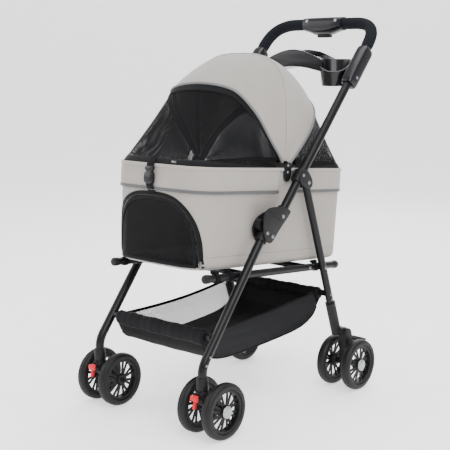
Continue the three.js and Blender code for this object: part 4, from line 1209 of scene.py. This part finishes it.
def mesh_windows(looks):
    for name, forward, body, size, area in (
            ("front", True, "front_hoop", (700, 250), 0.1119),
            ("rear", False, "carrier", (680, 240), 0.093)):
        surface = window_surface(forward)
        pieces = [cloth(f"{name}_window", surface, 110, 26, size, black_net(looks),
                        thick=0.7)]
        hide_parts(f"mesh_{name}")
        for band, v0, v1, wide in (("low", 0.915, 1.0, 15), ("top", 0.0, 0.075, 11.4)):
            def place(u, v, v0=v0, v1=v1):
                p = surface(u, v0 + (v1 - v0) * v)
                away = p - Vector((0, PIVOT_Y, PIVOT_Z + 60))
                return p + away.normalized() * 1.3

            pieces.append(cloth(f"{name}_window_{band}_band", place, 110, 3, (size[0] - 20, wide), lining(),
                                thick=1.2))
        for piece in pieces:
            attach(piece, body)
            if forward:
                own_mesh(piece)
    bm = bmesh.new()
    p = window_surface(True)(0.42, 0.955) + Vector((0, -3, 0))
    add_box(bm, p - Vector((8, 1, 2.6)), p + Vector((8, 1, 2.6)), 1)
    solid("window_zip_pull", bm, "carrier", steel(), CARRIER)


def pivot_plates():
    for side, sign in SIDES:
        x = sign * 159.8
        outline = [(149, 226), (165, 226), (172, 240), (173, 264), (166, 273), (150, 273),
                   (143, 264), (144, 238)]
        bm = bmesh.new()
        add_plate(bm, soften(outline), "x", x - 1.5, x + 1.5, 1, 2)
        solid(f"hood_plate_{side}", bm, "carrier", matte(), CARRIER,
              [f"pivot_plate_{side}"])


def rectangle(x0, z0, x1, z1, corner):
    """A rectangle with its corners cut."""
    return [(x0 + corner, z0), (x1 - corner, z0), (x1, z0 + corner), (x1, z1 - corner),
            (x1 - corner, z1), (x0 + corner, z1), (x0, z1 - corner), (x0, z0 + corner)]


def strap():
    y = cabin_point(0.5, CABIN_TOP, 5).y
    bm = bmesh.new()
    add_plate(bm, soften(rectangle(-15, 212, 15, 240, 5), 2), "y", y - 13, y - 4, 1.2)
    solid("buckle_socket", bm, "carrier", gloss(), CARRIER, ["buckle_lower"])
    bm = bmesh.new()
    add_plate(bm, soften(rectangle(-14, 241, 14, 254, 4), 2), "y", y - 12, y - 5, 1.2)
    for k in (-1, 1):
        add_box(bm, (k * 8 - 2, y - 10, 224), (k * 8 + 2, y - 7, 244), 0.7)
    solid("buckle_plug", bm, "buckle", gloss(), CARRIER, ["buckle_upper"])
    bm = bmesh.new()
    add_strip(bm, [(0, y + 1, 190), (0, y - 1, 198), (0, y - 6, 206), (0, y - 8, 214)],
              lambda p, i: Vector((0, -1, 0)), 24, 1.6)
    solid("strap_low", bm, "carrier", webbing(), CARRIER)
    bm = bmesh.new()
    add_strip(bm, [(0, y - 8, 250), (0, y - 7, 258), (0, y - 2, 266), (0, y + 5, 276)],
              lambda p, i: Vector((0, -1, 0.3)), 24, 1.6)
    solid("strap_high", bm, "buckle", webbing(), CARRIER)


def basket(looks):
    front, rear = on_leg(0, -174), on_rear_leg(0, 324)
    section = spline([(0, front.y - 9, front.z - 12), (0, front.y + 2, front.z - 38),
                      (0, front.y + 26, front.z - 58), (0, front.y + 90, front.z - 68),
                      (0, front.y + 200, front.z - 66), (0, rear.y - 90, front.z - 54),
                      (0, rear.y - 26, rear.z - 62), (0, rear.y - 8, rear.z - 36),
                      (0, rear.y + 7, rear.z - 10)], 6)

    def floor_point(u, v):
        p = along(section, v)
        half = 152 - 12 * math.sin(math.pi * v) ** 0.5
        x = half * (1 - 2 * u)
        sag = 7 * math.sin(math.pi * v) * math.cos(x / half * math.pi / 2)
        ripple = 1.4 * math.sin(u * 23 + v * 9) * math.sin(math.pi * v) * math.sin(math.pi * u)
        return Vector((x, p.y, p.z - sag + ripple))

    def rim_point(t):
        p = front.lerp(rear, t)
        return Vector((0, p.y, p.z - 9 * math.sin(math.pi * t) + 4))

    pieces = []
    pieces.append(cloth("basket_floor", floor_point, 60, 90, (300, 560), lining(),
                        WORLD, 1.6))
    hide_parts("basket")
    for side, sign in SIDES:
        u_side = 0.0 if sign > 0 else 1.0

        def side_point(u, v, sign=sign, u_side=u_side):
            t = 0.06 + 0.88 * u
            low = floor_point(u_side, t)
            top = rim_point(t)
            p = top + Vector((sign * (152 - 10 * math.sin(math.pi * t) ** 0.6), 0, 0))
            return p.lerp(low, v) + Vector((sign * 3 * math.sin(math.pi * v), 0, 0))

        pieces.append(cloth(f"basket_side_{side}", side_point, 60, 12, (450, 72), sheer_net(looks),
                            WORLD, 0.8))
        bm = bmesh.new()
        add_tube(bm, [side_point(i / 40, 0) for i in range(41)], 3, 12, 1.4)
        pieces.append(solid(f"basket_binding_{side}", bm, "front_frame", lining()))
        bm = bmesh.new()
        add_tube(bm, [side_point(i / 40, 1) for i in range(41)], 2.2, 10)
        pieces.append(solid(f"basket_edge_{side}", bm, "front_frame", lining()))
    for name, centre, r in (("front", front, 16.5), ("rear", rear, 13.5)):
        rings = []
        for i in range(61):
            x = 152 - 304 * i / 60
            puff = r + 0.7 * math.sin(i * 0.41) + 0.4 * math.sin(i * 1.3)
            puff *= 0.86 if i in (0, 60) else 1
            rings.append([(x, centre.y + puff * math.cos(a), centre.z - 3 + puff * 1.15 * math.sin(a))
                          for a in (2 * math.pi * k / 28 for k in range(28))])
        bm = bmesh.new()
        add_loft(bm, rings)
        pieces.append(solid(f"basket_roll_{name}", bm, "front_frame", lining()))
    for piece in pieces:
        if body_of(piece) is None:
            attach(piece, "front_frame")
        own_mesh(piece)


def pad(looks):
    """A soft pad on the cabin's floor, puffed up by a short cloth run."""
    half, thick = 118.0, 13.0
    bm = bmesh.new()
    ring = [(half * math.copysign(abs(math.cos(a)) ** 0.5, math.cos(a)),
             146 + 232 * math.copysign(abs(math.sin(a)) ** 0.35, math.sin(a)))
            for a in (2 * math.pi * i / 64 for i in range(64))]
    add_plate(bm, ring, "z", 22.4, 22.4 + thick, 4, 3)
    tidy(bm)
    obj = to_object("cabin_pad", bm, CARRIER, pad_cloth(), 60)
    remesh = obj.modifiers.new("Remesh", "REMESH")
    remesh.mode, remesh.voxel_size = "VOXEL", 0.006
    apply_modifiers(obj)
    start = [v.co.copy() for v in obj.data.vertices]
    sim = obj.modifiers.new("Cloth", "CLOTH")
    sim.settings.use_pressure = True
    sim.settings.uniform_pressure_force = looks.pad_pressure
    sim.settings.effector_weights.gravity = 0
    sim.point_cache.frame_start, sim.point_cache.frame_end = 1, 20
    for i in range(1, 21):
        bpy.context.scene.frame_set(i)
    apply_modifiers(obj)
    bpy.context.scene.frame_set(1)
    lowest = min(p.z for p in start)
    for v, p in zip(obj.data.vertices, start):
        move = v.co - p
        if move.length > 0.005:
            v.co = p + move.normalized() * 0.005
        v.co.z = max(v.co.z, p.z - 0.0008, lowest - 0.0008)
    smooth = obj.modifiers.new("Smooth", "SUBSURF")
    smooth.levels = smooth.render_levels = 1
    apply_modifiers(obj)
    obj.data.materials.clear()
    obj.data.materials.append(pad_cloth())
    obj.data.shade_smooth()
    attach(obj, "carrier")


def apply_modifiers(obj):
    """Make an object's evaluated mesh its own."""
    bpy.context.view_layer.update()
    mesh = bpy.data.meshes.new_from_object(
        obj.evaluated_get(bpy.context.evaluated_depsgraph_get()))
    obj.modifiers.clear()
    obj.data = mesh


def add_rivet(bm, point, axis, r=4.6, height=2.2):
    add_turned(bm, [(0, height), (r * 0.45, height * 0.94), (r * 0.82, height * 0.6), (r, 0.3),
                    (r, -1), (0, -1)], point, axis, 24)


def rivets():
    """The rivets and screws at every joint."""
    spots = {"handle_frame": [], "front_frame": [], "rear_legs": [], "seat_base": [], "carrier": []}
    tilt = WORLD.inverted() @ CARRIER
    for _, sign in SIDES:
        out = Vector((sign, 0, 0))
        x = sign * LEG_X
        for a, n, r in ((176, -4, 5), (111, -27, 4.6), (115.6, -5, 5)):
            spots["handle_frame"].append((on_line(x + sign * 19.7, a, n), out, r))
        for a, n, r in ((303, -1, 4.4), (302.6, 30, 5)):
            spots["handle_frame"].append((on_line(x + sign * 15, a, n), out, r))
        spots["handle_frame"].append((on_line(x + sign * 18, 628, 8), out, 4.2))
        for z in (194, 177):
            k = (z - on_leg(0, 0).z) / math.sin(LEG_ANGLE)
            spots["front_frame"].append((on_leg(x + sign * TUBE_R, k), out, 3.6))
        for k, r in ((REAR_FOOT_ALONG, 4.6), (324, 4.4), (340, 3.8)):
            spots["rear_legs"].append((on_rear_leg(x + sign * REAR_TUBE_R, k), out, r))
        spots["seat_base"].append((tilt @ Vector((sign * 167.5, 268, 0)), out, 4.2))
        for z in (266, 249):
            spots["carrier"].append((tilt @ Vector((sign * 161.3, PIVOT_Y, z)), out, 4))
    for body, places in spots.items():
        bm = bmesh.new()
        for point, axis, r in places:
            add_rivet(bm, point, axis, r)
        solid(f"{body}_rivets", bm, body, steel())


def stage(looks):
    """A pale floor that curves up into the backdrop, soft lights and the camera."""
    bm = bmesh.new()
    line = fillet([(0, -9, 0), (0, 6, 0), (0, 6, 6)], 2.5, 24)
    rings = [[(x, p.y, p.z) for x in (-9, 9)] for p in line]
    add_loft(bm, rings, caps=False, closed=False)
    bmesh.ops.recalc_face_normals(bm, faces=bm.faces)
    bmesh.ops.transform(bm, matrix=Matrix.Rotation(math.radians(42), 4, "Z"), verts=bm.verts)
    mesh = bpy.data.meshes.new("floor")
    bm.to_mesh(mesh)
    bm.free()
    mesh.shade_smooth()
    pale = moulded("Studio floor", (0.92, 0.92, 0.92), 0.7, grain=40, depth=0.01)
    pale.node_tree.nodes["Principled BSDF"].inputs["Emission Color"].default_value = (1, 1, 1, 1)
    pale.node_tree.nodes["Principled BSDF"].inputs["Emission Strength"].default_value = 0.85
    mesh.materials.append(pale)
    floor = bpy.data.objects.new("floor", mesh)
    bpy.context.scene.collection.objects.link(floor)
    aim = Vector((0, 0, 0.5))
    for name, spot, size, power in STUDIO_LIGHTS:
        data = bpy.data.lights.new(name, "AREA")
        data.size, data.energy = size, looks.studio_power * power
        light = bpy.data.objects.new(name, data)
        light.location = spot
        light.rotation_euler = (aim - Vector(spot)).to_track_quat("-Z", "Y").to_euler()
        bpy.context.scene.collection.objects.link(light)
    world = bpy.data.worlds.new("Studio")
    world.use_nodes = True
    world.node_tree.nodes["Background"].inputs["Color"].default_value = (1, 1, 1, 1)
    world.node_tree.nodes["Background"].inputs["Strength"].default_value = 0.75
    bpy.context.scene.world = world
    data = bpy.data.cameras.new("camera")
    data.lens, data.sensor_width = 78.66, 36
    camera = bpy.data.objects.new("camera", data)
    camera.location = (1.6872, -1.9324, 0.86)
    camera.rotation_euler = (math.radians(80.84), 0, math.radians(42.05))
    bpy.context.scene.collection.objects.link(camera)
    bpy.context.scene.camera = camera


# ---- Add-on ---------------------------------------------------------------------------------------
class StrollerLooks(bpy.types.PropertyGroup):
    """Settings shared by the build steps."""
    tube_sides: IntProperty(name="Tube Sides", description="Sides of every round tube",
                            default=32, min=12, max=64)
    spoke_pairs: IntProperty(name="Spoke Pairs", description="V-shaped pairs of spokes in a wheel",
                             default=8, min=3, max=16)
    plate_bevel: FloatProperty(name="Plate Bevel", description="Bevel of the moulded plates, in mm",
                               default=1.4, min=0.1, max=3.0, subtype="DISTANCE")
    net_pitch: FloatProperty(name="Net Pitch", description="Spacing of the netting's holes, in mm",
                             default=1.6, min=0.5, max=5.0, subtype="DISTANCE")
    pad_pressure: FloatProperty(name="Pad Pressure", description="Pressure that fills the pad",
                                default=4.0, min=0.0, max=20.0)
    studio_power: FloatProperty(name="Studio Power", description="Power of the key light",
                                default=110.0, min=1.0, max=1000.0, subtype="POWER", unit="POWER")


class STROLLER_OT_frame_tubes(bpy.types.Operator):
    """Build the legs, the handle tubes and the cross tubes"""
    bl_idname = "stroller.frame_tubes"
    bl_label = "Frame Tubes"

    def execute(self, context):
        frame_tubes(context.scene.stroller_looks)
        return {"FINISHED"}


class STROLLER_OT_fold_joints(bpy.types.Operator):
    """Build the covers and collars of the two fold joints"""
    bl_idname = "stroller.fold_joints"
    bl_label = "Fold Joints"

    def execute(self, context):
        fold_joints(context.scene.stroller_looks)
        return {"FINISHED"}


class STROLLER_OT_rear_brackets(bpy.types.Operator):
    """Build the brackets that hold the rear legs"""
    bl_idname = "stroller.rear_brackets"
    bl_label = "Rear-Leg Brackets"

    def execute(self, context):
        rear_brackets(context.scene.stroller_looks)
        return {"FINISHED"}


class STROLLER_OT_wheels(bpy.types.Operator):
    """Build the eight tyres and rims and the hub caps"""
    bl_idname = "stroller.wheels"
    bl_label = "Wheels"

    def execute(self, context):
        wheels(context.scene.stroller_looks)
        return {"FINISHED"}


class STROLLER_OT_casters(bpy.types.Operator):
    """Build the sockets, forks and swivel-lock levers"""
    bl_idname = "stroller.casters"
    bl_label = "Casters"

    def execute(self, context):
        casters(context.scene.stroller_looks)
        return {"FINISHED"}


class STROLLER_OT_rear_housings(bpy.types.Operator):
    """Build the rear wheel mounts and the brake pedals"""
    bl_idname = "stroller.rear_housings"
    bl_label = "Rear Wheel Housings"

    def execute(self, context):
        rear_housings(context.scene.stroller_looks)
        return {"FINISHED"}


class STROLLER_OT_handle(bpy.types.Operator):
    """Build the handle loop, its foam, sleeves, housing and button"""
    bl_idname = "stroller.handle"
    bl_label = "Handle"

    def execute(self, context):
        handle(context.scene.stroller_looks)
        return {"FINISHED"}


class STROLLER_OT_cup_tray(bpy.types.Operator):
    """Build the tray with its two cup wells"""
    bl_idname = "stroller.cup_tray"
    bl_label = "Cup Tray"

    def execute(self, context):
        cup_tray()
        return {"FINISHED"}


class STROLLER_OT_seat_base(bpy.types.Operator):
    """Build the side bars, their cross tubes, end caps and tabs"""
    bl_idname = "stroller.seat_base"
    bl_label = "Seat Base"

    def execute(self, context):
        seat_base(context.scene.stroller_looks)
        return {"FINISHED"}


class STROLLER_OT_cabin(bpy.types.Operator):
    """Build the carrier's wall with its arched doorway, and its floor"""
    bl_idname = "stroller.cabin"
    bl_label = "Cabin"

    def execute(self, context):
        cabin()
        return {"FINISHED"}


class STROLLER_OT_cabin_trim(bpy.types.Operator):
    """Build the skirt, the rim roll, the reflective strip and the stitching"""
    bl_idname = "stroller.cabin_trim"
    bl_label = "Cabin Trim"

    def execute(self, context):
        cabin_trim()
        return {"FINISHED"}


class STROLLER_OT_door(bpy.types.Operator):
    """Build the mesh door with its binding and zip"""
    bl_idname = "stroller.door"
    bl_label = "Door"

    def execute(self, context):
        door(context.scene.stroller_looks)
        return {"FINISHED"}


class STROLLER_OT_canopy(bpy.types.Operator):
    """Build the canopy's two panels between its bows"""
    bl_idname = "stroller.canopy"
    bl_label = "Canopy"

    def execute(self, context):
        canopy()
        return {"FINISHED"}


class STROLLER_OT_bows(bpy.types.Operator):
    """Build the three bows with their sleeves, piping and seam"""
    bl_idname = "stroller.bows"
    bl_label = "Bows"

    def execute(self, context):
        bows()
        return {"FINISHED"}


class STROLLER_OT_mesh_windows(bpy.types.Operator):
    """Build the front and rear mesh windows with their bands"""
    bl_idname = "stroller.mesh_windows"
    bl_label = "Mesh Windows"

    def execute(self, context):
        mesh_windows(context.scene.stroller_looks)
        return {"FINISHED"}


class STROLLER_OT_pivot_plates(bpy.types.Operator):
    """Build the plates at the canopy's pivots"""
    bl_idname = "stroller.pivot_plates"
    bl_label = "Pivot Plates"

    def execute(self, context):
        pivot_plates()
        return {"FINISHED"}


class STROLLER_OT_strap(bpy.types.Operator):
    """Build the strap and its buckle"""
    bl_idname = "stroller.strap"
    bl_label = "Strap"

    def execute(self, context):
        strap()
        return {"FINISHED"}


class STROLLER_OT_basket(bpy.types.Operator):
    """Build the basket's floor, rolls, mesh sides and bindings"""
    bl_idname = "stroller.basket"
    bl_label = "Basket"

    def execute(self, context):
        basket(context.scene.stroller_looks)
        return {"FINISHED"}


class STROLLER_OT_pad(bpy.types.Operator):
    """Build the soft pad on the cabin's floor"""
    bl_idname = "stroller.pad"
    bl_label = "Pad"

    def execute(self, context):
        pad(context.scene.stroller_looks)
        return {"FINISHED"}


class STROLLER_OT_rivets(bpy.types.Operator):
    """Build the rivets and screws at every joint"""
    bl_idname = "stroller.rivets"
    bl_label = "Rivets"

    def execute(self, context):
        rivets()
        return {"FINISHED"}


class STROLLER_OT_stage(bpy.types.Operator):
    """Build the floor, the lights and the camera"""
    bl_idname = "stroller.stage"
    bl_label = "Stage"

    def execute(self, context):
        stage(context.scene.stroller_looks)
        return {"FINISHED"}


STEPS = (
    STROLLER_OT_frame_tubes,
    STROLLER_OT_fold_joints,
    STROLLER_OT_rear_brackets,
    STROLLER_OT_wheels,
    STROLLER_OT_casters,
    STROLLER_OT_rear_housings,
    STROLLER_OT_handle,
    STROLLER_OT_cup_tray,
    STROLLER_OT_seat_base,
    STROLLER_OT_cabin,
    STROLLER_OT_cabin_trim,
    STROLLER_OT_door,
    STROLLER_OT_canopy,
    STROLLER_OT_bows,
    STROLLER_OT_mesh_windows,
    STROLLER_OT_pivot_plates,
    STROLLER_OT_strap,
    STROLLER_OT_basket,
    STROLLER_OT_pad,
    STROLLER_OT_rivets,
    STROLLER_OT_stage,
)


class STROLLER_PT_build(bpy.types.Panel):
    """The build steps in order"""
    bl_label = "Pet Stroller"
    bl_idname = "STROLLER_PT_build"
    bl_space_type = "VIEW_3D"
    bl_region_type = "UI"
    bl_category = "Stroller"

    def draw(self, context):
        looks = context.scene.stroller_looks
        for name in StrollerLooks.__annotations__:
            self.layout.prop(looks, name)
        for step in STEPS:
            self.layout.operator(step.bl_idname)


def register():
    """Add the classes and the settings to Blender."""
    for cls in (StrollerLooks, *STEPS, STROLLER_PT_build):
        bpy.utils.register_class(cls)
    bpy.types.Scene.stroller_looks = PointerProperty(type=StrollerLooks)


def unregister():
    """Take the classes and the settings out of Blender."""
    del bpy.types.Scene.stroller_looks
    for cls in reversed((StrollerLooks, *STEPS, STROLLER_PT_build)):
        bpy.utils.unregister_class(cls)


def main():
    """Build every piece in order."""
    register()
    for step in STEPS:
        group, name = step.bl_idname.split(".")
        getattr(getattr(bpy.ops, group), name)()


if __name__ == "__main__":
    main()
